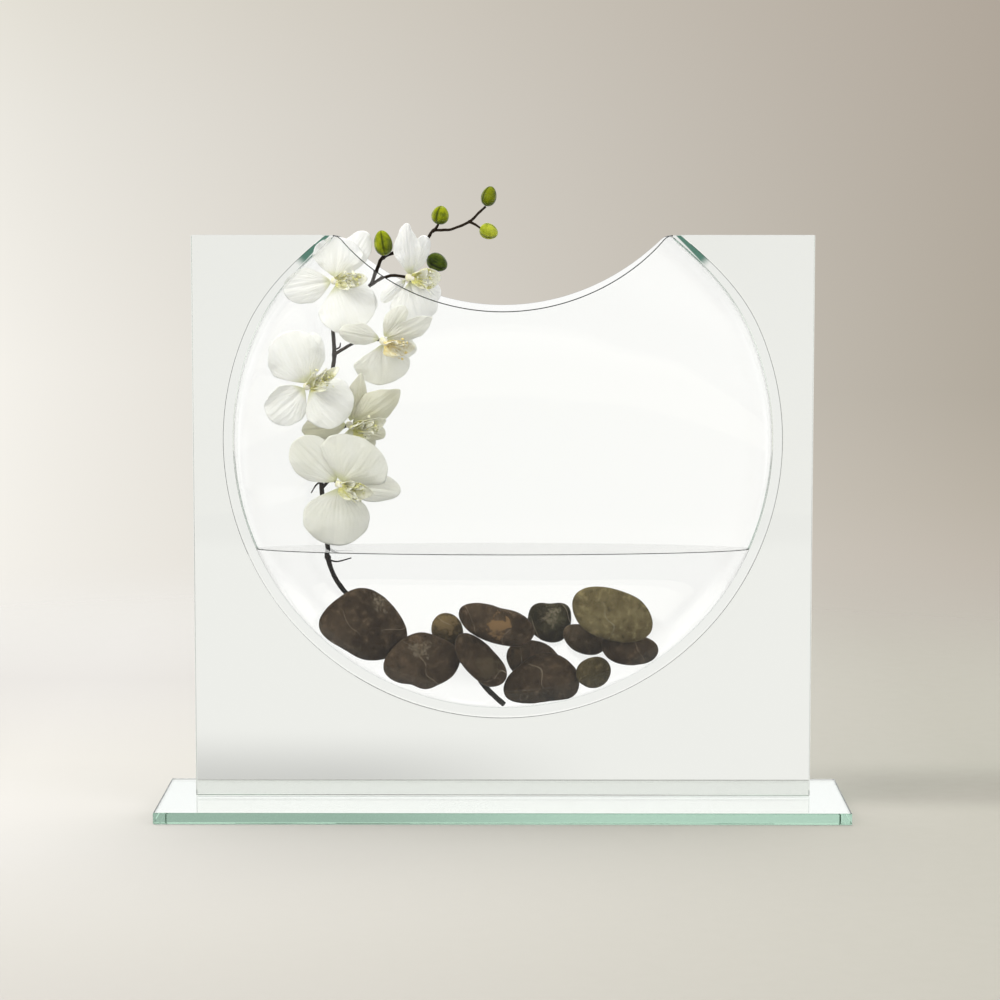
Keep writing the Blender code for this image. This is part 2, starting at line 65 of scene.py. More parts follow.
# ---- sizes of what only the looks have
RIM_WALL = 1.5 * MM  # thinner than WALL, so that the rim shows as a clear ring
WATER_INTO_GLASS = 0.4 * MM
FLOOR_DROP, FLOOR_RADIUS, FLOOR_SIDES = 0.5 * MM, 2.4, 96
# Radii of the dark beads that paint a shade line along an edge, and where on the rim they start and end, in
# degrees
MOUTH_BEAD, WATER_BEAD, RIM_BEAD = 0.42 * MM, 0.35 * MM, 0.2 * MM
RIM_ARCS = {"rim_line_right": (46.5, -122), "rim_line_left": (133.5, 204)}
# Green wedge at each upper end of the rim: its angles in degrees, and its breadth at the tip and at the end
WEDGE_TIP, WEDGE_END, WEDGE_BREADTH = 50.5, 40.5, (2.4 * MM, 5.2 * MM)

# How finely things are drawn
ROUND_STEPS = 256
EGG_SEGMENTS, EGG_RINGS, RING_CROWDING = 256, 64, 1.5
SCOOP_STEPS, HORN_STEPS, RIM_STEPS, WATERLINE_STEPS, BEAD_SIDES = 96, 12, 90, 120, 10
STONE_SIDES, STONE_RINGS = 96, 64
PETAL_CELLS, LOBE_CELLS = 30, 14
STEM_SIDES, STEM_STEPS, STALK_SIDES = 18, 14, 12
BUD_SIDES, BUD_RINGS = 72, 48


# ---- meshes
def full_turn(count):
    return np.arange(count) / count * 2 * math.pi


def lumps(points, per_metre, seed, waves=10):
    """Smooth repeatable noise between about -1 and 1 at each point: a sum of waves in random directions."""
    rng = np.random.default_rng(seed)
    directions = rng.normal(size=(waves, 3))
    directions /= np.linalg.norm(directions, axis=1)[:, None]
    phases = rng.uniform(0, 2 * math.pi, waves)
    scales = per_metre * rng.uniform(0.6, 1.5, waves)
    total = np.zeros(points.shape[:-1])
    for direction, phase, scale in zip(directions, phases, scales):
        total += np.sin(points @ direction * scale * 2 * math.pi + phase)
    return total / math.sqrt(waves)


def linked(name, data):
    obj = bpy.data.objects.new(name, data)
    SCENE.collection.objects.link(obj)
    return obj


def new_object(name, mesh, material):
    obj = linked(name, mesh)
    if material:
        mesh.materials.clear()
        mesh.materials.append(material)
    mesh.polygons.foreach_set("use_smooth", [True] * len(mesh.polygons))
    return obj


def mesh_from(name, verts, faces, places=None):
    mesh = bpy.data.meshes.new(name)
    mesh.from_pydata(np.asarray(verts).tolist(), [], [tuple(int(i) for i in face) for face in faces])
    if places is not None:
        layer = mesh.attributes.new("petal_place", "FLOAT_VECTOR", "POINT")
        layer.data.foreach_set("vector", np.asarray(places, np.float32).ravel())
    mesh.update()
    return mesh


def mesh_of(name, bm):
    mesh = bpy.data.meshes.new(name)
    bm.to_mesh(mesh)
    bm.free()
    return mesh


def piece(name, mesh, material, stands_for=None):
    """A piece that rides on the part's one body. One that stands for a CAD node hides that node."""
    obj = new_object(name, mesh, material)
    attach(obj, BODY)
    if stands_for:
        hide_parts(stands_for)
    return obj


def shell_piece(name, shell, material, stands_for=None):
    """A piece from (verts, faces, places), whose places are kept for its material."""
    return piece(name, mesh_from(name, *shell), material, stands_for)


def join_shells(shells):
    """One shell out of several: (verts, faces, places)."""
    verts, faces, places, start = [], [], [], 0
    for shell_verts, shell_faces, shell_places in shells:
        verts.append(shell_verts)
        places.append(shell_places)
        faces += [tuple(i + start for i in face) for face in shell_faces]
        start += len(shell_verts)
    return np.concatenate(verts), faces, np.concatenate(places)


def sheet_shell(grid, thickness, place):
    """A closed shell round a grid of points (rows, columns, 3), each with its thickness and its place."""
    rows, columns = grid.shape[:2]
    normal = np.cross(np.gradient(grid, axis=0), np.gradient(grid, axis=1))
    normal /= np.maximum(np.linalg.norm(normal, axis=2, keepdims=True), 1e-12)
    half = normal * thickness[..., None] / 2
    verts = np.concatenate([(grid + half).reshape(-1, 3), (grid - half).reshape(-1, 3)])
    number = np.arange(rows * columns).reshape(rows, columns)
    under = number + rows * columns
    faces = []
    for i in range(rows - 1):
        for j in range(columns - 1):
            faces.append((number[i, j], number[i + 1, j], number[i + 1, j + 1], number[i, j + 1]))
            faces.append((under[i, j], under[i, j + 1], under[i + 1, j + 1], under[i + 1, j]))
    ring = [*number[0, :-1], *number[:-1, -1], *number[-1, :0:-1], *number[:0:-1, 0]]
    for a, b in zip(ring, [*ring[1:], ring[0]]):
        faces.append((a, b, b + rows * columns, a + rows * columns))
    return verts, faces, np.concatenate([place.reshape(-1, 3)] * 2)


def round_shell(rings, ends, place=None):
    """A closed tube through rings of points (rings, sides, 3), closed by one point at each end."""
    count, sides = rings.shape[:2]
    verts = np.concatenate([rings.reshape(-1, 3), np.asarray(ends)])
    faces = []
    for i in range(count - 1):
        for j in range(sides):
            k = (j + 1) % sides
            faces.append((i * sides + j, i * sides + k, (i + 1) * sides + k, (i + 1) * sides + j))
    for j in range(sides):
        k = (j + 1) % sides
        faces.append((k, j, count * sides))
        faces.append(((count - 1) * sides + j, (count - 1) * sides + k, count * sides + 1))
    if place is None:
        place = np.zeros((count, sides, 3))
        place[..., 0] = (np.arange(sides) / sides)[None, :]
        place[..., 1] = (np.arange(count) / (count - 1))[:, None]
    return verts, faces, np.concatenate([place.reshape(-1, 3), place[0, :1], place[-1, :1]])


def tube_shell(rings, place=None):
    return round_shell(rings, [rings[0].mean(axis=0), rings[-1].mean(axis=0)], place)


def unit_ball(sides, rings):
    """Rings of points on a ball of radius 1, without its two poles."""
    turn = full_turn(sides)
    latitude = (np.arange(1, rings) / rings - 0.5) * math.pi
    x, y = np.cos(latitude)[:, None] * np.cos(turn), np.cos(latitude)[:, None] * np.sin(turn)
    return np.stack(np.broadcast_arrays(x, y, np.sin(latitude)[:, None]), axis=2)


def turned(degrees, axis):
    return Matrix.Rotation(math.radians(degrees), 4, axis)


def moved(points, matrix):
    return points @ np.array(matrix.to_3x3()).T + np.array(matrix.translation)


def middle_and_size(node):
    low, high = (np.array(corner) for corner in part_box(node))
    return (low + high) / 2, high - low


def smooth_route(points, steps):
    """A Catmull-Rom curve through points in metres, with this many steps from each to the next."""
    route = np.asarray(points, float)
    ends = np.vstack([2 * route[0] - route[1], route, 2 * route[-1] - route[-2]])
    t = (np.arange(steps) / steps)[:, None]
    found = []
    for a, b, c, d in zip(ends, ends[1:], ends[2:], ends[3:]):
        square, cube = 2 * a - 5 * b + 4 * c - d, 3 * b - a - 3 * c + d
        found.append(0.5 * (2 * b + (c - a) * t + square * t**2 + cube * t**3))
    return np.vstack([*found, route[-1:]])


def tube_rings(route, radii, sides):
    """Rings of points round a route, turned as little as possible from one to the next."""
    tangents = np.gradient(route, axis=0)
    tangents /= np.linalg.norm(tangents, axis=1)[:, None]
    side = np.cross(tangents[0], (0, 1, 0.3))
    turn = full_turn(sides)[:, None]
    rings = []
    for place, tangent, radius in zip(route, tangents, radii):
        side = side - (side @ tangent) * tangent
        side /= np.linalg.norm(side)
        other = np.cross(tangent, side)
        rings.append(place + radius * (np.cos(turn) * side + np.sin(turn) * other))
    return np.array(rings)


# ---- shader nodes
class Nodes:
    """Builds a node tree. add() makes a node and fills its sockets with values or other nodes' outputs."""

    def __init__(self, owner):
        owner.use_nodes = True
        self.tree = owner.node_tree
        self.tree.nodes.clear()

    def fill(self, socket, value):
        if isinstance(value, bpy.types.NodeSocket):
            self.tree.links.new(value, socket)
        else:
            socket.default_value = value

    def add(self, kind, inputs=None, **settings):
        node = self.tree.nodes.new(kind)
        for key, value in settings.items():
            setattr(node, key, value)
        for key, value in (inputs or {}).items():
            self.fill(node.inputs[key], value)
        return node

    def math(self, operation, a, b=0.0):
        return self.add("ShaderNodeMath", {0: a, 1: b}, operation=operation).outputs[0]

    def times(self, a, b):
        return self.math("MULTIPLY", a, b)

    def plus(self, a, b):
        return self.math("ADD", a, b)

    def spread(self, value, low, high, to_low=0.0, to_high=1.0, kind="LINEAR"):
        """The value's way from low to high, as to_low to to_high."""
        inputs = {"Value": value, "From Min": low, "From Max": high, "To Min": to_low, "To Max": to_high}
        return self.add("ShaderNodeMapRange", inputs, interpolation_type=kind, clamp=True).outputs["Result"]

    def smooth(self, value, low, high, to_low=0.0, to_high=1.0):
        return self.spread(value, low, high, to_low, to_high, "SMOOTHSTEP")

    def mix(self, factor, a, b):
        node = self.add("ShaderNodeMix", data_type="RGBA")
        self.fill(node.inputs[0], factor)
        for key, colour in ((6, a), (7, b)):
            self.fill(node.inputs[key], (*colour, 1) if isinstance(colour, tuple) else colour)
        return node.outputs[2]

    def ramp(self, factor, *stops):
        node = self.add("ShaderNodeValToRGB", {"Fac": factor})
        elements = node.color_ramp.elements
        while len(elements) < len(stops):
            elements.new(0.5)
        for element, (place, colour) in zip(elements, stops):
            element.position = place
            element.color = (*colour, 1)
        return node.outputs["Color"]

    def noise(self, vector, scale, detail=3.0, roughness=0.5):
        inputs = {"Vector": vector, "Scale": scale, "Detail": detail, "Roughness": roughness}
        return self.add("ShaderNodeTexNoise", inputs).outputs["Fac"]

    def specks(self, vector, scale):
        return self.add("ShaderNodeTexVoronoi", {"Vector": vector, "Scale": scale}).outputs["Distance"]

    def bands(self, vector, scale, distortion, detail_scale, direction="X"):
        inputs = {"Vector": vector, "Scale": scale, "Distortion": distortion, "Detail": 2.0,
                  "Detail Scale": detail_scale}
        return self.add("ShaderNodeTexWave", inputs, bands_direction=direction).outputs["Fac"]

    def bump(self, height, strength, distance):
        inputs = {"Height": height, "Strength": strength, "Distance": distance}
        return self.add("ShaderNodeBump", inputs).outputs["Normal"]

    def object_place(self):
        return self.add("ShaderNodeTexCoord").outputs["Object"]

    def place(self):
        """The place on a petal, bud or stem that its mesh gives each point."""
        return self.add("ShaderNodeAttribute", attribute_name="petal_place").outputs["Vector"]

    def parts(self, vector):
        return self.add("ShaderNodeSeparateXYZ", {"Vector": vector}).outputs

    def length(self, x, y):
        return self.math("SQRT", self.plus(self.math("POWER", x, 2.0), self.math("POWER", y, 2.0)))

    def plane(self, x, y):
        return self.add("ShaderNodeCombineXYZ", {"X": x, "Y": y, "Z": 0.0}).outputs[0]

    def scaled(self, vector, scale):
        return self.add("ShaderNodeMapping", {"Vector": vector, "Scale": scale}).outputs["Vector"]

    def light_path(self):
        return self.add("ShaderNodeLightPath").outputs

    def blend(self, factor, a, b):
        return self.add("ShaderNodeMixShader", {0: factor, 1: a, 2: b}).outputs[0]

    def finish(self, surface, volume=None):
        output = self.add("ShaderNodeOutputMaterial", {"Surface": surface})
        if volume:
            self.tree.links.new(volume, output.inputs["Volume"])

    def finish_principled(self, colour, roughness, normal, **others):
        """Others are further inputs, with _ for a space in their names."""
        inputs = {key.replace("_", " "): value for key, value in others.items()}
        inputs.update({"Base Color": colour, "Roughness": roughness, "Normal": normal})
        self.finish(self.add("ShaderNodeBsdfPrincipled", inputs).outputs[0])


def new_material(name):
    material = bpy.data.materials.new(name)
    return material, Nodes(material)


def linear(r, g, b):
    """A colour written as it looks on screen, 0 to 255, turned into the numbers that a shader takes."""
    return tuple((c / 255 / 12.92) if c <= 10.31 else ((c / 255 + 0.055) / 1.055) ** 2.4 for c in (r, g, b))


def grey(level, warmth=0.0):
    return level, level, level - warmth


def shaded(colour, share):
    return tuple(share * c for c in colour)


GREEN, PALE_GREEN = linear(96, 190, 150), linear(150, 200, 180)


# ---- materials
def glass_material(
        name, tint, ior=1.5, absorb=None, shade=(0.9, 0.9, 0.9), smudge=0.004, waviness=0.02, wedge=None):
    """Clear glass or water that lamps shine through. absorb is (colour, density) along the light's way."""
    material, n = new_material(name)
    place = n.object_place()
    film = n.spread(n.noise(place, 9, 3), 0.45, 0.75, 0.0, smudge)
    inputs = {"Base Color": (*tint, 1), "Roughness": film, "IOR": ior, "Transmission Weight": 1.0,
              "Normal": n.bump(n.noise(place, 14, 2), waviness, 0.0004)}
    if wedge:
        inputs["Base Color"] = n.mix(green_wedge(n, place), tint, wedge)
    glass = n.add("ShaderNodeBsdfPrincipled", inputs).outputs[0]
    through = n.add("ShaderNodeBsdfTransparent", {"Color": (*shade, 1)}).outputs[0]
    surface = n.blend(n.light_path()["Is Shadow Ray"], glass, through)
    volume = None
    if absorb:
        colour, density = absorb
        volume = n.add("ShaderNodeVolumeAbsorption", {"Color": (*colour, 1), "Density": density}).outputs[0]
    n.finish(surface, volume)
    return material


def green_wedge(n, place):
    """1 on the upper ends of the bowl's rim, where light comes a long way through the plate, 0 elsewhere."""
    x, y, z = n.parts(place)
    sideways, up = n.math("ABSOLUTE", x), n.math("SUBTRACT", z, BOWL_Z)
    angle = n.math("ARCTAN2", up, sideways)
    high = n.smooth(angle, math.radians(WEDGE_END), math.radians(WEDGE_END + 2.5))
    breadth = n.spread(angle, math.radians(WEDGE_TIP), math.radians(WEDGE_END + 2), *WEDGE_BREADTH)
    shoulder = OPENING_SHOULDER * OPENING_RADIUS
    drawn_in = n.smooth(angle, SHOULDER_START, SHOULDER_START + SHOULDER_SPAN, 0.0, shoulder)
    outward = n.plus(n.plus(n.length(sideways, up), drawn_in), breadth)
    outer = n.spread(outward, OPENING_RADIUS - 0.6 * MM, OPENING_RADIUS)
    middle = n.spread(n.math("ABSOLUTE", y), 7 * MM, 6 * MM)
    return n.times(n.times(high, outer), middle)


def petal_material(name, dull, lit):
    """White flesh with faint veins, pleats that spread like a fan with painted shade along them near the
    root, and a green throat.
    """
    material, n = new_material(name)
    across, along, _ = n.parts(n.place())
    body = n.object_place()
    cloud = n.noise(body, 55, 4)
    colour = n.mix(n.spread(cloud, 0.35, 0.7), dull, lit)
    veins = n.bands(n.plane(across, n.times(along, 0.22)), 5.2, 2.2, 2.4)
    vein = n.times(n.spread(veins, 0.55, 1.0), n.spread(along, 0.05, 0.95, 1.0, 0.15))
    colour = n.mix(n.times(vein, 0.22), colour, (0.74, 0.75, 0.66))
    colour = n.mix(n.smooth(along, 0.02, 0.20, 0.85, 0.0), colour, (0.66, 0.68, 0.34))
    turn = n.math("DIVIDE", n.math("SUBTRACT", across, 0.5), n.plus(along, 0.15))
    pleats_and_shade = n.bands(n.plane(turn, n.times(along, 0.3)), 2.4, 2.0, 1.5)
    pleats_and_shade = n.times(pleats_and_shade, n.spread(along, 0.75, 0.25, 0.15, 1.0))
    # Painted shade: the pleats darken the petal, most of all near its root
    colour = n.mix(n.times(pleats_and_shade, 0.16), colour, (0.70, 0.70, 0.60))
    height = n.plus(n.times(veins, 0.4), n.times(n.noise(body, 900, 3), 0.3))
    height = n.math("SUBTRACT", height, n.times(pleats_and_shade, 1.1))
    n.finish_principled(
        colour, n.spread(cloud, 0.3, 0.7, 0.42, 0.62), n.bump(height, 0.5, 0.0003), Specular_IOR_Level=0.35,
        Subsurface_Weight=0.35, Subsurface_Radius=(1.0, 0.97, 0.85), Subsurface_Scale=0.003,
        Sheen_Weight=0.08)
    return material


def lip_material(name, pale, yellow, speck):
    """Pale flesh, yellower near its root, with dark specks."""
    material, n = new_material(name)
    body = n.object_place()
    patches = n.noise(body, 190, 3, 0.6)
    inward = n.spread(n.parts(n.place())["Y"], 0.15, 0.95, 0.35, -0.25)
    toned = n.mix(n.spread(n.plus(patches, inward), 0.38, 0.72), pale, yellow)
    spots = n.times(n.spread(n.specks(body, 620), 0.30, 0.16), n.spread(patches, 0.42, 0.55))
    n.finish_principled(
        n.mix(spots, toned, speck), n.spread(patches, 0.3, 0.7, 0.3, 0.5), n.bump(patches, 0.5, 0.0006),
        Specular_IOR_Level=0.45, Subsurface_Weight=0.25, Subsurface_Radius=(1.0, 0.9, 0.5),
        Subsurface_Scale=0.002)
    return material


def bud_material(name, light, deep):
    """Green, deeper towards the root, with dark seams where the sepals meet and pale streaks that are painted
    highlights.
    """
    material, n = new_material(name)
    place = n.place()
    _, along, seam = n.parts(place)
    cloud = n.noise(n.object_place(), 160, 3)
    toned = n.mix(n.spread(n.plus(cloud, n.times(along, -0.22)), 0.25, 0.55), light, deep)
    seamed = n.mix(n.times(n.spread(seam, 0.0, 0.9), 0.85), toned, shaded(deep, 0.35))
    streaks = n.noise(n.scaled(place, (22.0, 1.6, 0.0)), 1.0, 3)
    # Painted highlights: pale streaks along the bud, whose pattern also gives it faint ridges
    colour = n.mix(n.spread(streaks, 0.56, 0.72, 0.0, 0.28), seamed, (0.60, 0.65, 0.16))
    n.finish_principled(
        colour, n.spread(cloud, 0.3, 0.7, 0.12, 0.24), n.bump(streaks, 0.06, 0.0003), Specular_IOR_Level=0.26,
        Subsurface_Weight=0.05, Subsurface_Radius=(0.8, 1.0, 0.3), Subsurface_Scale=0.002)
    return material


def stem_material():
    """Streaked dark wood, a little lighter towards the top, with dusty patches."""
    material, n = new_material("woody_stem")
    place = n.place()
    streaks = n.noise(n.scaled(place, (9.0, 26.0, 1.0)), 1.0, 4, 0.6)
    cloud = n.noise(n.object_place(), 120, 3)
    low = n.mix(n.spread(streaks, 0.35, 0.7), (0.006, 0.004, 0.003), (0.024, 0.015, 0.010))
    high = n.mix(n.spread(streaks, 0.35, 0.7), (0.011, 0.007, 0.004), (0.040, 0.026, 0.016))
    toned = n.mix(n.spread(n.parts(place)["Y"], 0.62, 0.85), low, high)
    dusty = n.mix(n.spread(cloud, 0.55, 0.8, 0.0, 0.2), toned, (0.07, 0.06, 0.03))
    n.finish_principled(
        dusty, n.spread(cloud, 0.3, 0.7, 0.4, 0.65), n.bump(streaks, 0.6, 0.0005), Specular_IOR_Level=0.1)
    return material


def stone_material(name, seed, stain, pale_patch, dark=(0.034, 0.021, 0.010), light=(0.084, 0.056, 0.033),
                   pale=(0.40, 0.33, 0.23), veins=0.5, wet=0.3):
    """A river pebble: mottled, with thin pale scratches and specks.

    stain is (place, reach, colour, amount) or None; the argument after it is (place, reach) of a pale cloudy
    patch, or None; both in metres.
    """
    material, n = new_material(name)
    base = n.object_place()

    def shift(amount):
        offset = (amount, amount * 0.7, amount * 1.3)
        return n.add("ShaderNodeVectorMath", {0: base, 1: offset}, operation="ADD").outputs[0]

    def near(place, reach, noise):
        away = n.add("ShaderNodeVectorMath", {0: base, 1: place}, operation="DISTANCE").outputs["Value"]
        ragged = n.plus(away, n.times(n.math("SUBTRACT", noise, 0.5), reach * 4.5))
        return n.smooth(ragged, reach * 1.35, reach * 0.65)

    body = shift(seed)
    broad = n.noise(body, 34, 5, 0.6)
    grain = n.noise(shift(seed + 3), 520, 4, 0.7)
    coarse = n.noise(shift(seed + 5), 150, 4, 0.6)
    colour = n.mix(n.spread(broad, 0.38, 0.64), dark, light)
    colour = n.mix(n.spread(coarse, 0.52, 0.72, 0.0, 0.55), colour, shaded(light, 1.9))
    colour = n.mix(n.spread(coarse, 0.44, 0.28, 0.0, 0.7), colour, shaded(dark, 0.35))
    if stain:
        place, reach, tone, amount = stain
        colour = n.mix(n.times(near(place, reach, coarse), amount), colour, tone)
    lines = n.bands(body, 11.0, 14.0, 1.2, "DIAGONAL")
    scratch = n.times(n.spread(lines, 0.9975, 0.9998), n.spread(broad, 0.42, 0.54, 0.0, 0.8 * veins))
    colour = n.mix(scratch, colour, pale)
    # A pale cloudy patch round a given place
    if pale_patch:
        cloudy = n.times(near(*pale_patch, coarse), n.spread(grain, 0.38, 0.62))
        colour = n.mix(n.times(cloudy, 0.45), colour, pale)
    specks = n.times(n.spread(n.specks(body, 420), 0.22, 0.12), n.spread(coarse, 0.52, 0.66, 0.0, 0.30))
    height = n.plus(n.times(coarse, 0.7), n.times(grain, 0.25))
    n.finish_principled(
        n.mix(specks, colour, pale), n.spread(grain, 0.3, 0.7, wet, wet + 0.22), n.bump(height, 0.5, 0.0006),
        IOR=1.16)
    return material


# ---- glass and water
def shoulder_scale(angle, amount):
    rise = math.asin(math.sin(angle))
    share = min(max((rise - SHOULDER_START) / SHOULDER_SPAN, 0), 1)
    return 1 - amount * share * share * (3 - 2 * share)


def opening_point(angle, radius):
    reach = radius * shoulder_scale(angle, OPENING_SHOULDER)
    return reach * math.cos(angle), BOWL_Z + reach * math.sin(angle)


def half_depth(z, extra):
    return HALF_DEPTH + DEPTH_RISE * (z - BOWL_Z) + extra


def egg_mesh(name, radius, extra_depth):
    """The bowl's round form: a sphere flattened front to back and drawn in at the shoulders."""
    bm = bmesh.new()
    bmesh.ops.create_uvsphere(bm, u_segments=EGG_SEGMENTS, v_segments=EGG_RINGS, radius=1)
    for vert in bm.verts:
        angle = math.atan2(vert.co.y, vert.co.x)
        share = abs(math.asin(min(max(vert.co.z, -1), 1))) / (math.pi / 2)
        latitude = math.copysign(share**RING_CROWDING * math.pi / 2, vert.co.z)
        reach = radius * shoulder_scale(angle, CAVITY_SHOULDER) * math.cos(latitude)
        x, z = reach * math.cos(angle), BOWL_Z + reach * math.sin(angle)
        vert.co = Vector((x, -math.sin(latitude) * half_depth(z, extra_depth), z))
    return mesh_of(name, bm)


def egg_depth(x, z, radius, extra_depth):
    """How far the round form stands out from y = 0 at a place given in x and z."""
    angle = math.atan2(z - BOWL_Z, x)
    share = math.hypot(x, z - BOWL_Z) / (radius * shoulder_scale(angle, CAVITY_SHOULDER))
    return half_depth(z, extra_depth) * math.sqrt(max(1 - share * share, 0))


def bead(name, route, radius, material):
    """A thin line of dark glass along a route: a painted shade line along an edge."""
    route = np.array(route)
    verts, faces, _ = tube_shell(tube_rings(route, np.full(len(route), radius), BEAD_SIDES))
    piece(name, mesh_from(name, verts, faces), material, None)


def outline_mesh(name, points, thickness):
    """A flat outline in x and z, standing upright and centred on y = 0, its two faces one polygon each."""
    half = thickness / 2
    count = len(points)
    verts = [(x, -half, z) for x, z in points] + [(x, half, z) for x, z in points]
    faces = [tuple(range(count)), tuple(range(2 * count - 1, count - 1, -1))]
    faces += [(i, i + count, (i + 1) % count + count, (i + 1) % count) for i in range(count)]
    mesh = bpy.data.meshes.new(name)
    mesh.from_pydata(verts, [], faces)
    bm = bmesh.new()
    bm.from_mesh(mesh)
    bmesh.ops.recalc_face_normals(bm, faces=bm.faces)
    bm.to_mesh(mesh)
    bm.free()
    return mesh


def mouth_outline():
    """Everything above the horns and inside the scoop, as an outline in x and z."""
    drop = MOUTH_Z - (HORN_TOP - HORN_RADIUS)
    horn_x = math.sqrt((MOUTH_RADIUS + HORN_RADIUS) ** 2 - drop**2)
    tangent = math.atan2(-drop, horn_x)
    reach = 2 * OPENING_RADIUS
    half = []
    for i in range(SCOOP_STEPS + 1):
        angle = -math.pi / 2 + (tangent + math.pi / 2) * i / SCOOP_STEPS
        half.append((MOUTH_RADIUS * math.cos(angle), MOUTH_Z + MOUTH_RADIUS * math.sin(angle)))
    start = tangent + math.pi
    for i in range(1, HORN_STEPS + 1):
        angle = start + (math.pi / 2 - start) * i / HORN_STEPS
        z = HORN_TOP - HORN_RADIUS + HORN_RADIUS * math.sin(angle)
        half.append((horn_x + HORN_RADIUS * math.cos(angle), z))
    half += [(reach, HORN_TOP), (reach, HORN_TOP + reach)]
    return [*[(-x, z) for x, z in half[:0:-1]], *half]


def combined(name, mesh, *steps):
    """The mesh after boolean steps of (operation, other mesh), with the helpers removed."""
    source = new_object(name + "_source", mesh, None)
    helpers = []
    for operation, other in steps:
        helper = new_object(f"{name}_helper_{len(helpers)}", other, None)
        helpers.append(helper)
        modifier = source.modifiers.new(operation.lower(), "BOOLEAN")
        modifier.operation, modifier.solver, modifier.object = operation, "EXACT", helper
    bpy.context.view_layer.update()
    evaluated = source.evaluated_get(bpy.context.evaluated_depsgraph_get())
    result = bpy.data.meshes.new_from_object(evaluated)
    result.name = name
    for obj in (source, *helpers):
        bpy.data.objects.remove(obj, do_unlink=True)
    return result


def glass_piece(name, mesh, material, stands_for, second=None, on_second=None):
    """A smooth piece with crisp edges. The second material goes on the polygons that on_second() picks."""
    obj = piece(name, mesh, material, stands_for)
    mesh.set_sharp_from_angle(angle=math.radians(25))
    if second:
        mesh.materials.append(second)
        for polygon in mesh.polygons:
            polygon.material_index = int(on_second(polygon))
    return obj


def build_base():
    glass = glass_material("base_glass", grey(0.995, 0.005), absorb=(GREEN, 5.9), shade=(0.86, 0.89, 0.88))
    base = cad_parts["base_plate"].data
    base.materials.clear()
    base.materials.append(glass)


def build_panel():
    tint, shade = (0.878, 0.864, 0.842), (0.90, 0.92, 0.91)
    glass = glass_material("panel_glass", tint, absorb=(GREEN, 6.0), shade=shade)
    top = math.radians(50)
    while opening_point(top, OPENING_RADIUS)[1] > PANEL_TOP:
        top -= math.radians(0.02)
    sweep = math.pi + 2 * top
    steps = round(ROUND_STEPS * sweep / (2 * math.pi))
    opening = [opening_point(top - sweep * i / steps, OPENING_RADIUS) for i in range(steps + 1)]
    half, edge = PANEL_HALF_WIDTH, opening[0][0]
    corners = [(-edge, PANEL_TOP), (-half, PANEL_TOP), (-half, PANEL_BOTTOM), (half, PANEL_BOTTOM),
               (half, PANEL_TOP), (edge, PANEL_TOP)]
    outline = outline_mesh("clear_panel", [*corners, *opening[1:-1]], PLATE)
    panel = glass_piece("clear_panel", outline, glass, "glass_panel")
    bevel = panel.modifiers.new("polished edges", "BEVEL")
    bevel.width, bevel.segments, bevel.limit_method = PLATE_BEVEL, 2, "ANGLE"
    bevel.angle_limit = math.radians(60)


def build_bowl():
    thin = dict(absorb=(PALE_GREEN, 3.0), shade=(0.95, 0.96, 0.955))
    glass = glass_material("bowl_glass", grey(0.998, 0.006), **thin)
    rim_glass = glass_material("rim_glass", (0.86, 0.862, 0.84), wedge=(0.10, 0.22, 0.17), **thin)
    ring = [opening_point(angle, OPENING_RADIUS - GAP) for angle in full_turn(ROUND_STEPS)]
    rim = outline_mesh("rim", ring, PLATE)
    mesh = combined(
        "round_bowl", egg_mesh("outer", CAVITY_RADIUS + RIM_WALL, WALL), ("UNION", rim),
        ("DIFFERENCE", egg_mesh("inner", CAVITY_RADIUS, 0)),
        ("DIFFERENCE", outline_mesh("mouth", mouth_outline(), 240 * MM)))

    def on_rim(polygon):
        flat = all(abs(abs(mesh.vertices[i].co.y) - PLATE / 2) < 0.01 * MM for i in polygon.vertices)
        return flat and abs(polygon.normal.y) > 0.99

    glass_piece("round_bowl", mesh, glass, "glass_bowl", rim_glass, on_rim)


def build_edge_lines(dark):
    scoop = [(x, z) for x, z in mouth_outline() if abs(x) < OPENING_RADIUS and z < PANEL_TOP]
    front = [(x, -max(egg_depth(x, z, CAVITY_RADIUS + RIM_WALL, WALL), PLATE / 2), z) for x, z in scoop]
    bead("mouth_edge", front, MOUTH_BEAD, dark)
    for name, (start, end) in RIM_ARCS.items():
        turns = [math.radians(start + (end - start) * i / RIM_STEPS) for i in range(RIM_STEPS + 1)]
        arc = [opening_point(a, OPENING_RADIUS - GAP / 2) for a in turns]
        bead(name, [(x, PLATE_BEVEL / 2 - PLATE / 2, z) for x, z in arc], RIM_BEAD, dark)


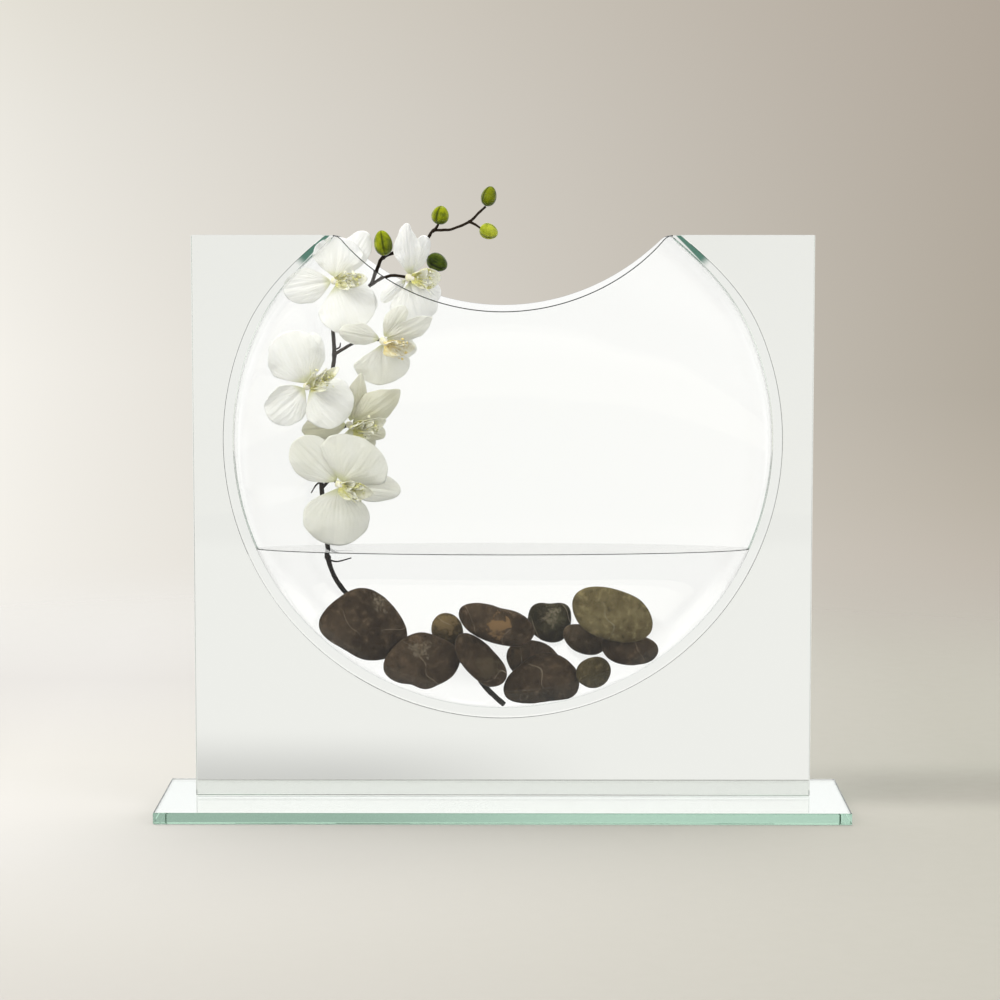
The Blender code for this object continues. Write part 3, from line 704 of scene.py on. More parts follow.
def build_water(dark):
    # Water's own index, 1.333, traps light between the water and the glass, in a dark band round the bowl
    ior, shade, air_height = 1.15, (0.97, 0.98, 0.98), 0.5
    # The water's top takes a grey tint: painted shade for the band where its surface is seen edge-on
    inside, surface = (
        glass_material(name, tint, ior, None, shade, 0.0, 0.012)
        for name, tint in (("still_water", grey(1.0)), ("grey_shaded_water_surface", grey(0.56, 0.01))))
    air = bmesh.new()
    bmesh.ops.create_cube(air, size=1)
    air_size = Matrix.Diagonal((0.6, 0.3, air_height, 1))
    air.transform(Matrix.Translation((0, 0, WATER_LEVEL + air_height / 2)) @ air_size)
    fill = egg_mesh("fill", CAVITY_RADIUS + WATER_INTO_GLASS, WATER_INTO_GLASS)
    mesh = combined("still_water", fill, ("DIFFERENCE", mesh_of("air", air)))

    def on_top(polygon):
        return polygon.normal.z > 0.99 and polygon.center.z > WATER_LEVEL - 0.1 * MM

    glass_piece("still_water", mesh, inside, "water", surface, on_top)
    reach = math.sqrt(CAVITY_RADIUS**2 - (WATER_LEVEL - BOWL_Z) ** 2) - 0.6 * MM
    half = WATERLINE_STEPS // 2
    contact = [reach * math.sin(math.pi / 2 * i / half) for i in range(-half, half + 1)]
    depths = [max(egg_depth(x, WATER_LEVEL, CAVITY_RADIUS, 0) - WATER_BEAD, 0) for x in contact]
    level = WATER_LEVEL + 0.2 * MM
    # A painted shade line of dark glass along the water's front edge
    bead("waterline_shade_line", [(x, -y, level) for x, y in zip(contact, depths)], WATER_BEAD, dark)


def build_glass():
    # Dark glass for the beads: painted shade lines along the mouth, the rim and the waterline
    dark = glass_material("rim_shadow", (0.05, 0.055, 0.05))
    build_base()
    build_panel()
    build_bowl()
    build_edge_lines(dark)
    build_water(dark)


# ---- pebbles
# As in the CAD model: half width, half height and half thickness in mm, tilt, turn, flat and waist. Then
# where the outline stands out or is flattened: direction in the picture's plane, amount and spread
PEBBLES = {
    "big_left": ((40.3, 33.0, 9.5, -22, 11, 0.10, 0), (
        (183, 0.16, 22), (135, -0.14, 30), (232, -0.12, 28), (-25, 0.14, 28), (75, 0.04, 30))),
    "dark_rounded": ((34.2, 28.0, 8.5, -4, 11, 0.15, 0), (
        (150, -0.14, 28), (85, 0.10, 24), (-78, 0.16, 20), (-112, -0.10, 18), (20, 0.06, 30),
        (-160, 0.08, 22))),
    "golden_band": ((34, 20.5, 11, -18, 0, 0.10, 0.10), ((75, -0.10, 28), (160, 0.08, 24), (-45, 0.06, 24))),
    "long_slanted": ((29, 18.0, 9, -50, 0, 0.10, 0.05), ((-20, 0.16, 30), (-75, 0.10, 20), (130, 0.06, 24))),
    "small_tan": ((14, 17, 8, 15, 0, 0, 0), ((90, 0.10, 40),)),
    "wide_bottom": ((34.0, 25.0, 8, 8, 10, 0.15, 0), (
        (-32, 0.16, 20), (-150, 0.14, 20), (152, -0.16, 30), (28, -0.14, 30), (-90, -0.06, 24))),
    "round_behind": ((24, 18.5, 7, -10, 0, 0, 0), ((120, 0.10, 30), (20, -0.06, 30))),
    "green_veined": ((19.3, 18.3, 10, 10, 0, 0, 0), (
        (48, 0.14, 24), (132, 0.14, 24), (90, -0.06, 20), (-60, 0.06, 30))),
    "small_dark": ((20, 14, 8, -20, 6, 0.10, 0), ((150, 0.10, 30), (30, -0.06, 30))),
    "long_dark": ((25.5, 17.5, 8.5, -8, 8, 0.05, 0.10), ((-10, 0.12, 26), (60, -0.08, 30))),
    "little_round": ((15.5, 15.0, 6, 0, 0, 0.05, 0), ((200, 0.08, 30), (60, 0.06, 30))),
    "mossy_oval": ((35.8, 26.0, 11, -18, 0, 0.15, 0), ((-30, 0.12, 26), (140, 0.08, 30), (60, -0.04, 30))),
}
STONE_LOOKS = {
    "small_tan": dict(dark=(0.050, 0.034, 0.014), light=(0.105, 0.075, 0.034)),
    "small_dark": dict(dark=(0.045, 0.031, 0.017), light=(0.100, 0.072, 0.046)),
    "green_veined": dict(dark=(0.016, 0.013, 0.006), light=(0.055, 0.045, 0.024), veins=0.9),
    "long_slanted": dict(veins=1.0),
    "little_round": dict(dark=(0.055, 0.041, 0.017), light=(0.115, 0.090, 0.044), pale=(0.34, 0.30, 0.20)),
    "mossy_oval": dict(dark=(0.110, 0.084, 0.036), light=(0.205, 0.165, 0.078), pale=(0.42, 0.38, 0.26),
                       veins=0.4, wet=0.42),
}
# Sideways and upwards from the pebble's middle and the reach, in mm, then a stain's colour and amount
STAINS = {
    "golden_band": (1, -1, 8.5, (0.27, 0.16, 0.070), 0.8),
    "small_tan": (-2, 9, 9, (0.22, 0.15, 0.065), 0.7),
    "green_veined": (6, 4, 7, (0.10, 0.095, 0.05), 0.6),
    "round_behind": (-12, 2, 7, (0.13, 0.09, 0.045), 0.5),
    "long_slanted": (6, -8, 8, (0.12, 0.09, 0.05), 0.5),
}
# Pale cloudy patches, each on a pebble's upper side: sideways and upwards from its middle and the reach, in
# mm
PALE_PATCHES = {"big_left": (19, 20, 9), "dark_rounded": (-2, 11, 7), "green_veined": (2, 8, 7)}


def stone_points(form, bumps, number):
    """A pebble's points in metres: its rings from low to high, then its two poles."""
    width, height, thick, tilt, turn, flat, waist = form
    ball = np.concatenate([unit_ball(STONE_SIDES, STONE_RINGS).reshape(-1, 3), [(0, 0, -1), (0, 0, 1)]])
    x, z, y = ball.T
    z = z * (1 - flat * np.maximum(-z, 0) - waist * (1 - x * x)) + 0.10 * flat * np.sin(2.3 * x)
    x = x * (1 + 0.06 * np.sin(2.0 * z + flat))
    points = np.stack([x * width, -y * thick, z * height], axis=1) * MM
    direction = np.degrees(np.arctan2(points[:, 2], points[:, 0])) + tilt
    outline = np.hypot(points[:, 0] / width, points[:, 2] / height) / MM
    for centre, amount, spread in bumps:
        apart = (direction - centre + 180) % 360 - 180
        grown = amount * np.exp(-((apart / spread) ** 2)) * np.clip(outline, 0, 1) ** 2
        points[:, [0, 2]] *= (1 + grown)[:, None]
    normal = ball[:, [0, 2, 1]] * (1 / width, -1 / thick, 1 / height)
    normal /= np.linalg.norm(normal, axis=1)[:, None]
    rough = 0.40 * MM * lumps(points, 24, 40 + number) + 0.07 * MM * lumps(points, 110, 80 + number, 16)
    return moved(points + normal * (rough - 0.3 * MM)[:, None], turned(turn, "Z") @ turned(-tilt, "Y"))


def build_pebbles():
    for number, (name, (form, bumps)) in enumerate(PEBBLES.items()):
        middle, room = middle_and_size("pebble_" + name)
        front = -0.8 * form[2]

        def on_front(table):
            if name not in table:
                return None
            across, up, reach, *look = table[name]
            place = middle + np.array((across, front, up)) * MM
            return tuple(float(v) for v in place), reach * MM, *look

        look, seed = STONE_LOOKS.get(name, {}), 1.7 * number + 0.4
        material = stone_material("stone_" + name, seed, on_front(STAINS), on_front(PALE_PATCHES), **look)
        points = stone_points(form, bumps, number)
        low, high = points.min(axis=0), points.max(axis=0)
        points = (points - (high + low) / 2) * ((room - 0.5 * MM) / (high - low)) + middle
        verts, faces, _ = round_shell(points[:-2].reshape(STONE_RINGS - 1, STONE_SIDES, 3), points[-2:])
        piece("stone_" + name, mesh_from("stone_" + name, verts, faces), material, "pebble_" + name)


# ---- orchid
# In mm, as in the CAD model: the stem from its cut end in the pebbles to the topmost bud
STEM_ROUTE = (
    (1, 1, 93), (-14, 8.5, 107), (-33, 13.5, 130), (-60, 17, 138), (-92, 19, 152), (-112, 20.5, 168),
    (-127, 21.5, 182), (-139, 19.5, 194), (-147, 13.5, 208), (-151.5, 8, 223), (-154, 7, 240),
    (-158, 12, 281), (-158.5, 16, 312), (-155, 17, 348), (-149, 17, 380), (-146.5, 17, 398),
    (-147.5, 17, 421), (-144, 16, 437), (-131, 14, 448), (-115, 13, 458), (-109, 13, 474), (-104, 14, 483),
    (-89, 20, 488.5), (-75, 22, 493.5), (-66, 21, 499), (-61, 18, 505.5), (-52, 14, 506.5), (-44, 12, 507.5),
    (-29, 8, 514), (-21, 5, 521.5), (-15, 3, 527),
)
STEM_NODES = (2, 5, 9, 12, 15, 18, 21, 25, 28)
# Radius at the root and at the end, and the route
BRANCHES = {
    "twig_at_water": (0.9, 0.5, ((-150.8, 9, 220.5), (-143, 4, 219.5), (-131, 0, 223))),
    "twig_above_water": (0.9, 0.5, ((-158, 12, 288), (-163, 10, 284), (-167, 8, 277.5))),
    "twig_at_fork": (0.9, 0.5, ((-146.5, 17, 402), (-142, 15, 404), (-141, 14, 408))),
    "stalk_of_bud_by_the_rim": (1.5, 1.2, ((-104, 14, 482.5), (-103.5, 10, 483), (-103.4, 7.2, 485.5))),
    "stalk_of_middle_bud": (1.3, 1.0, ((-61, 18, 505.5), (-58, 15, 508.5), (-56.2, 14, 511.5))),
    "stalk_of_right_bud": (1.2, 0.9, ((-29, 8, 514), (-24, 7.5, 511.5), (-19.2, 7, 508.2))),
    "stalk_of_rear_bud": (1.3, 0.9, ((-75, 22, 493.5), (-70, 24, 489), (-65, 25, 482.5))),
}
STALK_REACH, STALK_ARCH = np.array((0, 8, 0)), np.array((0, 4, 5))

# For each kind: width at the root as a share, bow and backward curl of the sides, and where its root sits
FORMS = {"sepal": (0.45, 1.5, 3.0), "petal": (0.30, 3.0, 4.0), "lobe": (0.45, 1.2, -3.0)}
SEATS = {"sepal": (3.45, 0.95, 0), "petal": (3.45, -0.95, 0), "lip": (0.8, -3.9, 0)}
PETAL_THICKNESS = 0.7

# In mm and degrees, as in the CAD model: the middle, how far the face turns down and to the right, then for
# each piece, in the order of PIECES, its angle, length, width and lift, and here also how it is shaped
PIECES = ("dorsal_sepal", "upper_sepal", "lower_sepal", "upper_petal", "lower_petal", "lip")
BLOOMS = {
    "bloom_1": ((-145, -3, 462.5), 0, 6, (
        (190, 42, 31, 0, dict(wave=1.2, tip=-2.0, full=0.5)), (56, 48, 26, -7), (-35, 40, 26, -2),
        (86, 35, 46, -3, dict(wave=1.8, roll=6.0, full=0.6)), (-65, 43, 51, 4, dict(wave=1.6, full=0.42)),
        (5, 28, 15, 18))),
    "bloom_2": ((-82, 6, 465.5), 4, 30, (
        (220, 29, 14, 0, dict(roll=4.0)), (62, 37, 20, -4), (-28, 34, 22, -2),
        (97, 43, 27, 2, dict(wave=1.9, point=0.9, roll=5.0, side=-1)), (-77, 40, 46, 6, dict(wave=1.6)),
        (2, 26, 20, 18))),
    "bloom_3": ((-103.5, -6, 411.5), 28, 12, (
        (166, 36, 23, 0, dict(wave=1.0, point=0.5)), (62, 33, 20, -4, dict(point=0.2)), (-26, 30, 22, -2),
        (30, 43, 25, 2, dict(wave=1.2, roll=5.0, point=0.5)), (-87, 38, 50, 6, dict(wave=1.4)),
        (0, 27, 17, 18))),
    "bloom_4": ((-169, -9, 372), 4, 6, (
        (221, 40, 38, 0, dict(wave=0.9, roll=7.0, side=-1, full=0.45)), (82, 43, 24, -3),
        (-12, 29, 22, -2, dict(wave=0.6)), (114, 48, 48, 4, dict(wave=1.3, full=0.38, roll=2.5)),
        (-38, 41, 46, 6, dict(wave=1.5, full=0.30, vein=0.4)), (33, 32, 12, 16))),
    "bloom_5": ((-133, 7, 337.5), 28, 12, (
        (188, 38, 29, 0, dict(wave=0.9, point=0.4)), (82, 45, 20, -4, dict(wave=0.6, point=0.8)),
        (-24, 32, 20, -2), (42, 50, 32, 2, dict(wave=0.9, point=0.6)), (-78, 34, 40, 4, dict(wave=1.4)),
        (25, 32, 18, 18))),
    "bloom_6": ((-142, -12, 287.5), 10, 6, (
        (134, 51, 40, 0, dict(wave=0.9, crease=1.6)), (-8, 51, 26, -2, dict(wave=0.7)),
        (-66, 36, 18, -2, dict(wave=0.6)), (58, 43, 64, 4, dict(wave=1.1, full=0.42, vein=0.12, crease=0.6)),
        (-94, 51, 58, 4, dict(wave=1.1, full=0.34, vein=0.14, crease=0.6)), (-10, 30, 17, 18))),
}
# Blooms that take a darker copy of the white petal: painted shade, cream for light shade and shady for deep
# shade
PETAL_TONES = {"bloom_3": "shaded_cream", "bloom_5": "shady", "bloom_6": "shaded_cream"}
LIP_TONES = {"bloom_3": "golden"}
# The lobes of a lip: angle from its middle line, length and width as shares, lift, side roll and ruffle
LOBES = (
    (0, 1.00, 0.95, 0, 2.0, 0.9), (34, 0.62, 0.62, 26, 3.0, 1.2), (-34, 0.62, 0.62, 26, 3.0, 1.2),
    (14, 0.80, 0.40, 14, 1.5, 1.6), (-16, 0.74, 0.40, 20, 1.5, 1.6),
)
LIP_CURLS, LIP_CRUMBS = 5, 34
# Half length, half width and the angle of the tip, as in the CAD model
BUDS = {
    "bud_by_the_rim": (11.3, 8.2, 100, "fresh"), "bud_middle": (8.4, 7.8, 80, "fresh"),
    "bud_tip": (9.0, 6.8, 75, "olive"), "bud_right": (8.4, 7.0, -20, "pale"),
    "bud_rear": (9.8, 8.0, -30, "deep"),
}


def in_metres(matrix, points):
    return moved(points, matrix) * MM


def bark_tube(route, radii, share, sides, seed):
    """A lumpy tube of wood. share is how far up the stem its colours are taken from."""
    rings = tube_rings(route, radii, sides)
    centre = rings.mean(axis=1, keepdims=True)
    rough = 1 + 0.07 * lumps(rings, 210, 300 + seed) + 0.04 * lumps(rings, 700, 330 + seed)
    place = np.zeros_like(rings)
    place[..., 0] = np.abs(np.arange(sides) / sides * 2 - 1)
    place[..., 1] = np.reshape(share, (-1, 1))
    return tube_shell(centre + (rings - centre) * rough[..., None], place)


def main_stem():
    line = smooth_route(np.array(STEM_ROUTE, float) * MM, STEM_STEPS)
    share = np.linspace(0, 1, len(line))
    radii = (2.5 + (1.05 - 2.5) * share) * MM
    for node in STEM_NODES:
        offset = (np.arange(len(line)) - node * STEM_STEPS) / STEM_STEPS
        radii += 0.75 * MM * (1 - 0.5 * share) * np.exp(-((offset / 0.10) ** 2))
    return bark_tube(line, radii, share, STEM_SIDES, 0)


def branch(number, name, root, end, points):
    line = smooth_route(np.array(points, float) * MM, 12)
    radii = np.linspace(root, end, len(line)) * MM
    if "stalk" in name:
        radii += 0.35 * MM * np.exp(-((np.linspace(0, 1, len(line)) - 0.05) / 0.12) ** 2)
    return bark_tube(line, radii, 0.9 if points[0][2] > 470 else 0.3, STALK_SIDES, 10 + number)


def flower_stalk(number, knob):
    """A stalk to a bloom's middle from the nearest point of the stem that is lower."""
    knob = np.array(knob, float)
    below = [point for point in np.array(STEM_ROUTE, float) if point[2] < knob[2]]
    root = min(below, key=lambda point: np.linalg.norm(point - knob - STALK_REACH))
    middle = (root + knob) / 2 + STALK_ARCH
    line = smooth_route(np.array([root, middle, knob + (0, 4, 0), knob]) * MM, 14)
    radii = np.linspace(1.5, 1.15, len(line)) * MM
    return bark_tube(line, radii, np.linspace(0.7, 0.75, len(line)), STALK_SIDES, 30 + number)


def build_stem():
    shells = [main_stem()]
    shells += [branch(i, name, *row) for i, (name, row) in enumerate(BRANCHES.items())]
    shells += [flower_stalk(i, row[0]) for i, row in enumerate(BLOOMS.values())]
    shell_piece("stem_and_stalks", join_shells(shells), stem_material(), "orchid_stem")


def petal_grid(cells, length, width, form, seed, wave=0.8, point=0.0, roll=0.0, side=1, crease=1.2, tip=0.0,
               vein=0.26, full=0.55):
    """A petal along +X that faces -Y, in mm: grid of points, place on the petal, nearness to its edge."""
    claw, bow, curl = form
    rng = np.random.default_rng(seed)
    line = np.linspace(-1, 1, cells + 1)
    s, t = np.meshgrid(line, line, indexing="ij")
    along = 0.5 * (1 + s * np.sqrt(1 - t * t / 2))
    flat_across = t * np.sqrt(1 - s * s / 2)
    edge = np.hypot(2 * along - 1, flat_across)
    around = np.arctan2(flat_across, 2 * along - 1)
    spread = claw + (1 - claw) * np.sin(math.pi / 2 * np.minimum(along / full, 1))
    far = np.clip((along - 0.45) / 0.55, 0, 1)
    across = flat_across * spread * (1 - 0.5 * point * far**1.5)
    ripple = np.sin(5 * around + rng.uniform(0, 6)) + 0.6 * np.sin(11 * around + rng.uniform(0, 6))
    ragged = 1 + 0.02 * edge**4 * ripple
    x = along * length * (1 + 0.05 * point * far * np.exp(-((across / 0.3) ** 2)))
    height = 4 * bow * along * (1 - along) - curl * across**2
    # Waves of the free edge, then the crease down the middle, the folds and the pleats near the root
    phases = rng.uniform(0, 2 * math.pi, 3)
    free = edge**3 * np.clip(along / 0.35, 0, 1)
    height += wave * free * (np.sin(3 * around + phases[0]) + 0.6 * np.sin(5 * around + phases[1]))
    height += 0.25 * wave * free * np.sin(11 * around + phases[2])
    height -= crease * np.exp(-((across / 0.09) ** 2)) * (1 - along**2) * np.clip(along / 0.1, 0, 1)
    fan = 0.6 * np.sin(flat_across * 25 + 1.5 * np.sin(4 * along + phases[1]))
    height += vein * fan * (1 - edge**4) * np.clip(along / 0.25, 0, 1)
    theta = np.arctan2(across, along + 0.08)
    pleats = np.sin(30 * theta + phases[2] + np.sin(6 * along)) + 0.6 * np.sin(53 * theta + phases[0])
    height += 0.9 * vein * pleats * np.exp(-(((along - 0.3) / 0.32) ** 2)) * (1 - edge**6)
    height += tip * far**2
    flap = np.clip((side * across - 0.45) / 0.55, 0, 1)
    height += roll * flap**1.5
    z = across * width / 2 * ragged - side * 0.35 * roll * flap**2
    return np.stack([x, -height, z], axis=2), np.stack([flat_across * 0.5 + 0.5, along, edge], axis=2), edge


def petal_matrix(bloom_turn, angle, seat, lift):
    return bloom_turn @ turned(-angle, "Y") @ Matrix.Translation(Vector(seat)) @ turned(-lift, "Z")


def petal_shell(matrix, *size, **shape):
    """A petal with a thickness, set in place. size and shape are as petal_grid takes them."""
    grid, place, edge = petal_grid(*size, **shape)
    return sheet_shell(in_metres(matrix, grid), PETAL_THICKNESS * MM * (1 - 0.55 * edge**3), place)


def build_column(name, turn, lip_angle, material):
    """The short column in the middle of the flower, with its anther cap, leaning over the lip."""
    sides, rings, length = 20, 18, 9.5
    share = np.arange(rings) / (rings - 1)
    radius = 3.7 * np.sqrt(np.clip(1 - (2 * share / 1.15 - 0.75) ** 2 * 0.9, 0.05, 1))
    radius = radius * (1 - 0.30 * share) + 0.5 * np.exp(-(((share - 0.82) / 0.09) ** 2))
    radius[0] = radius[-1] = 0.8
    angle = full_turn(sides)
    points = np.zeros((rings, sides, 3))
    points[..., 0] = (share * length - 2.6)[:, None]
    points[..., 1] = radius[:, None] * np.cos(angle)
    points[..., 2] = radius[:, None] * np.sin(angle) * (1 - 0.12 * np.cos(angle))
    points[..., 1] -= (0.10 * (share * length) ** 1.5)[:, None]
    ends = np.array([points[0].mean(axis=0) + (-0.4, 0, 0), points[-1].mean(axis=0) + (0.4, 0, 0)])
    matrix = turn @ turned(-lip_angle, "Y") @ turned(-38, "Z")
    shell = round_shell(in_metres(matrix, points), in_metres(matrix, ends))
    shell_piece(name, shell, material, None)


def crumb_shell(centre, radius, rng):
    """A lumpy little ball of one random shade."""
    stretch = rng.uniform(0.6, 1.5, 3)
    rings = unit_ball(8, 6)
    rings = centre + rings * radius * stretch * rng.uniform(0.8, 1.2, rings.shape[:2])[..., None]
    pole = np.array((0, 0, radius * stretch[2]))
    verts, faces, places = round_shell(rings, [centre - pole, centre + pole])
    return verts, faces, places * (1, 0, 1) + (0, rng.uniform(0, 1), 0)


def build_lip(name, node, turn, size, material, seed):
    angle, length, width, lift = size

    def seated(off, raised):
        return petal_matrix(turn, angle + off, SEATS["lip"], lift + raised)

    shells = []
    for i, (off, long_share, wide_share, raised, roll, wave) in enumerate(LOBES):
        shells.append(petal_shell(
            seated(off, raised), LOBE_CELLS, length * long_share, width * wide_share, FORMS["lobe"], seed + i,
            wave=wave, roll=roll, side=1 if off >= 0 else -1, crease=0.5, vein=0.18, point=0.25))
    rng = np.random.default_rng(seed + 50)
    share = np.linspace(0.35, 1, 16)
    for _ in range(LIP_CURLS):
        off, reach = rng.uniform(-40, 40), length * rng.uniform(0.55, 0.95)
        matrix = seated(off, rng.uniform(5, 45))
        route = np.stack([share * reach, -3.5 * np.sin(share * 3), rng.uniform(-1, 1) * 5 * share**3], axis=1)
        shells.append(tube_shell(tube_rings(in_metres(matrix, route), (0.55 - 0.3 * share) * MM, 8)))
    for _ in range(LIP_CRUMBS):
        off, reach = rng.normal(0, 15), length * rng.uniform(0.15, 0.80)
        matrix = seated(off, rng.uniform(0, 14))
        spot = in_metres(matrix, np.array([[reach, -1.5 - rng.uniform(0, 2.5), rng.normal(0, 1.5)]]))[0]
        shells.append(crumb_shell(spot, rng.uniform(0.6, 1.5) * MM, rng))
    shell_piece(name, join_shells(shells), material, node)


def build_blooms():
    petals = {
        "white": petal_material("white_petal", (0.92, 0.92, 0.87), (0.97, 0.97, 0.94)),
        # The cream and shady petals are darker copies of the white one: painted shade
        "shaded_cream": petal_material("cream_petal_in_shade", (0.84, 0.835, 0.73), (0.90, 0.895, 0.81)),
        "shady": petal_material("shady_petal", (0.66, 0.64, 0.48), (0.77, 0.755, 0.61)),
    }
    lips = {
        "green": lip_material("yellow_green_lip", (0.88, 0.87, 0.72), (0.66, 0.64, 0.24), (0.26, 0.27, 0.07)),
        "golden": lip_material("golden_lip", (0.88, 0.84, 0.66), (0.74, 0.60, 0.22), (0.42, 0.29, 0.08)),
    }
    column = lip_material("pale_column", (0.88, 0.85, 0.80), (0.80, 0.77, 0.55), (0.62, 0.55, 0.35))
    for number, (bloom, (centre, turn_down, turn_right, rows)) in enumerate(BLOOMS.items()):
        turn = Matrix.Translation(Vector(centre)) @ (turned(turn_right, "Z") @ turned(turn_down, "X"))
        for k, (part, (angle, length, width, lift, *shape)) in enumerate(zip(PIECES, rows)):
            node, kind, seed = f"{bloom}_{part}", part.split("_")[-1], 100 * number + 10 * k
            if kind == "lip":
                material = lips[LIP_TONES.get(bloom, "green")]
                build_lip(node + "_fine", node, turn, (angle, length, width, lift), material, seed)
                continue
            matrix = petal_matrix(turn, angle, SEATS[kind], lift)
            shell = petal_shell(matrix, PETAL_CELLS, length, width, FORMS[kind], seed, **dict(*shape))
            shell_piece(node + "_fine", shell, petals[PETAL_TONES.get(bloom, "white")], node)
        build_column(f"{bloom}_column", turn, rows[-1][0], column)


def bud_shell(number, half_length, half_width, angle, middle):
    """A bud with three seams, closed at both ends, its box centred on the middle given in metres."""
    turn = full_turn(BUD_SIDES)
    share = np.arange(1, BUD_RINGS)[:, None] / BUD_RINGS
    latitude = (share - 0.5) * math.pi
    third = 2 * math.pi / 3
    seam = np.exp(-((((turn + 0.4 * number) % third - third / 2) / 0.13) ** 2))
    depth = np.clip((share - 0.08) / 0.3, 0, 1)
    z = np.sin(latitude)
    ring = np.cos(latitude) * (1 - 0.12 * z)
    groove = 1 - 0.075 * depth * seam + 0.02 * np.sin(6 * turn)
    long, wide = half_length * 0.985, half_width * 0.98
    x, y = z * long, wide * ring * groove * np.cos(turn)
    points = np.stack(np.broadcast_arrays(x, y, wide * ring * groove * np.sin(turn)), axis=2)
    matrix = turned(-angle, "Y")
    rings, ends = in_metres(matrix, points), in_metres(matrix, np.array([(-long, 0, 0), (long, 0, 0)]))
    everything = np.concatenate([rings.reshape(-1, 3), ends])
    shift = middle - (everything.min(axis=0) + everything.max(axis=0)) / 2
    place = np.broadcast_arrays(np.abs(np.arange(BUD_SIDES) / BUD_SIDES * 2 - 1), share, seam * depth)
    return round_shell(rings + shift, ends + shift, np.stack(place, axis=2))


def build_buds():
    materials = {
        "fresh": bud_material("fresh_bud", (0.27, 0.31, 0.004), (0.085, 0.115, 0.002)),
        "olive": bud_material("olive_bud", (0.17, 0.20, 0.003), (0.055, 0.075, 0.001)),
        "pale": bud_material("pale_bud", (0.46, 0.50, 0.04), (0.24, 0.29, 0.008)),
        "deep": bud_material("deep_bud", (0.07, 0.105, 0.004), (0.02, 0.035, 0.002)),
    }
    for number, (name, (half_length, half_width, angle, look)) in enumerate(BUDS.items()):
        middle, _ = middle_and_size(name)
        shell = bud_shell(number, half_length, half_width, angle, middle)
        shell_piece(name + "_fine", shell, materials[look], name)


# ---- studio
# Each lamp's place and diameter in metres, its power in watts and its tint
LAMPS = {
    "key": ((-1.9, -1.5, 2.3), 1.5, 62, (1.0, 0.985, 0.96)),
    "fill": ((2.2, -1.6, 1.2), 1.6, 22, (0.97, 0.985, 1.0)),
    "top": ((0.2, 0.9, 2.6), 1.8, 42, (1, 1, 1)),
}
LAMP_AIM = (0, 0, 0.28)
# The camera's lens and film in mm, its place in metres and its direction in degrees
LENS, FILM_WIDTH = 118.52, 36
EYE, LOOKS_DOWN, LOOKS_LEFT = (0.0139, -2.8587, 0.5744), 6.04, 0.327


def build_world():
    """The wall, as the camera sees it, and what glass, water and matt surfaces see in its place."""
    world = bpy.data.worlds.new("studio")
    SCENE.world = world
    n = Nodes(world)
    way = n.parts(n.add("ShaderNodeTexCoord").outputs["Generated"])
    # The wall for camera rays has painted light: bright on the left, darker to the right, and changing with
    # height
    up = n.spread(way["Z"], -0.27, 0.06)
    left = n.ramp(up, (0.0, linear(229, 225, 215)), (0.35, linear(245, 242, 235)),
                  (0.62, linear(247, 244, 237)), (0.85, linear(237, 234, 226)), (1.0, linear(228, 224, 213)))
    right = n.ramp(up, (0.3, linear(203, 199, 187)), (0.41, linear(196, 188, 177)),
                   (0.5, linear(186, 178, 165)), (0.6, linear(177, 169, 156)), (1.0, linear(175, 165, 153)))
    backdrop = n.mix(n.math("POWER", n.spread(way["X"], -0.16, 0.15), 0.82), left, right)
    height = n.spread(way["Z"], -0.2, 1.0)
    behind = n.ramp(height, (0.115, grey(1.04, 0.01)), (0.15, grey(1.02, 0.01)), (0.17, grey(1.12, 0.01)),
                    (0.30, grey(1.19, 0.01)), (0.45, grey(1.19, 0.01)), (0.62, (0.62, 0.63, 0.63)))
    before = n.ramp(height, (0.16, (0.98, 0.95, 0.88)), (0.34, (1.0, 0.97, 0.90)), (0.50, (1.55, 1.50, 1.42)))
    refracted = n.mix(n.spread(way["Y"], -0.35, 0.15), before, behind)
    facing = n.ramp(height, (0.14, grey(0.2)), (0.21, grey(0.6)), (0.62, grey(0.35)))
    beyond = n.ramp(height, (0.18, grey(0.96, 0.01)), (0.205, grey(0.58)), (0.28, grey(0.62)),
                    (0.33, grey(1.0)), (0.62, grey(0.35)))
    mirrored = n.mix(n.spread(way["Y"], -0.1, 0.2), facing, beyond)
    path = n.light_path()
    # A ray that has gone through glass counts as a glossy one as well, so transmission is looked at first
    plain = n.mix(path["Is Glossy Ray"], grey(0.6), mirrored)
    colour = n.mix(path["Is Camera Ray"], n.mix(path["Is Transmission Ray"], plain, refracted), backdrop)
    back = n.add("ShaderNodeBackground", {"Color": colour, "Strength": 1.0}).outputs[0]
    n.add("ShaderNodeOutputWorld", {"Surface": back})


def floor_tone_and_painted_light(n, x, y):
    """The floor's colour with painted light: paler behind and darker to the right, with a painted shadow
    beside the plate.
    """
    left = n.ramp(n.spread(y, -0.7, 1.4), (0.0, (0.498, 0.479, 0.448)), (0.085, (0.526, 0.510, 0.475)),
                  (0.25, (0.599, 0.583, 0.555)), (0.44, (0.625, 0.607, 0.569)),
                  (0.67, (0.585, 0.568, 0.547)), (1.0, (0.695, 0.685, 0.668)))
    tone = n.mix(n.spread(x, -0.45, 0.45), left, (0.415, 0.400, 0.348))
    # Painted shadow: a dark band on the floor to the right of the plate
    band = n.times(n.smooth(y, -0.03, 0.06), n.smooth(y, 0.24, 0.10))
    tone = n.mix(n.times(band, n.smooth(x, 0.22, 0.36, 0.0, 0.34)), tone, (0.178, 0.170, 0.146))
    grain = n.noise(n.object_place(), 60, 3)
    return n.mix(n.spread(grain, 0.3, 0.7, 0.0, 0.05), tone, (0.56, 0.54, 0.50))


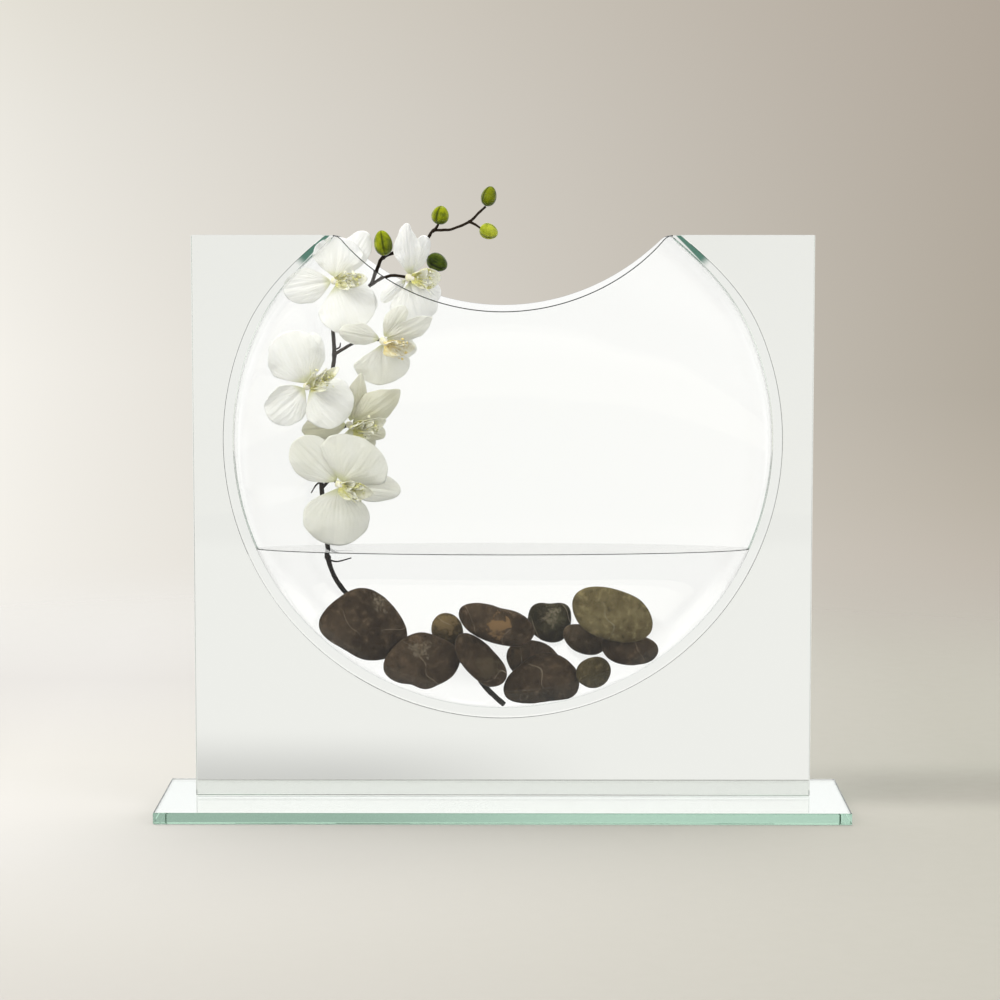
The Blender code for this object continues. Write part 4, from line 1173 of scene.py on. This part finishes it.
def floor_by_glass(n, x, y, path):
    """What mirrored rays and rays through glass see of the floor: a painted shade behind the plate on the
    left.
    """
    beside = n.smooth(x, 0.12, -0.16)
    back = n.times(n.smooth(y, 0.42, 0.10), n.spread(y, 0.079, 0.083))
    shade_behind_plate = n.spread(n.times(beside, back), 0.0, 1.0, 1.0, 0.71)
    through = n.mix(shade_behind_plate, grey(0.0), grey(1.08, 0.01))
    through = n.mix(n.smooth(y, 1.85, 2.1), through, grey(1.045, 0.01))
    # The bowl's front doesn't mirror the bright floor under the plate, which would veil the pebbles
    mirrored = n.times(n.spread(path["Glossy Depth"], 0.0, 1.0), n.spread(y, 0.083, 0.079))
    through = n.mix(mirrored, through, grey(0.42, 0.01))
    glimpse = n.mix(n.spread(y, 0.0, 0.25), grey(0.2), grey(0.95, 0.01))
    return n.mix(path["Is Transmission Ray"], glimpse, through)


def build_floor():
    """A round floor that fades into the wall, with other light for rays that go by way of glass."""
    turn = full_turn(FLOOR_SIDES)
    circle = [(FLOOR_RADIUS * math.cos(a), FLOOR_RADIUS * math.sin(a), -FLOOR_DROP) for a in turn]
    material, n = new_material("pale_floor")
    x, y, _ = n.parts(n.object_place())
    path = n.light_path()
    matt = n.add("ShaderNodeBsdfDiffuse", {"Color": floor_tone_and_painted_light(n, x, y)}).outputs[0]
    clear = n.add("ShaderNodeBsdfTransparent").outputs[0]
    faded = n.blend(n.smooth(n.length(x, y), 0.55, 2.0), matt, clear)
    emitted = floor_by_glass(n, x, y, path)
    lit = n.add("ShaderNodeEmission", {"Color": emitted, "Strength": 1.0}).outputs[0]
    by_glass = n.math("MAXIMUM", path["Is Transmission Ray"], path["Is Glossy Ray"])
    n.finish(n.blend(by_glass, faded, lit))
    new_object("studio_floor", mesh_from("studio_floor", circle, [range(FLOOR_SIDES)]), material)


def build_lamps():
    for name, (place, size, power, tint) in LAMPS.items():
        light = bpy.data.lights.new(name, "AREA")
        light.shape, light.size, light.energy, light.color = "DISK", size, power, tint
        lamp = linked(name, light)
        lamp.location = place
        lamp.visible_glossy = lamp.visible_transmission = False
        lamp.rotation_euler = (Vector(LAMP_AIM) - Vector(place)).to_track_quat("-Z", "Y").to_euler()


def build_camera():
    """The photo's view."""
    camera = bpy.data.cameras.new("camera")
    camera.lens, camera.sensor_width = LENS, FILM_WIDTH
    eye = linked("camera", camera)
    eye.location = EYE
    eye.rotation_euler = (math.radians(90 - LOOKS_DOWN), 0, math.radians(LOOKS_LEFT))
    SCENE.camera = eye


def build_studio():
    SCENE.view_settings.view_transform = "Standard"
    cycles = SCENE.cycles
    cycles.max_bounces = 32
    # Light is often mirrored many times inside the glass, whose edges turn black if it is cut short
    cycles.transmission_bounces = cycles.glossy_bounces = cycles.transparent_max_bounces = 24
    build_world()
    build_floor()
    build_lamps()
    build_camera()


build_studio()
build_glass()
build_pebbles()
build_stem()
build_blooms()
build_buds()
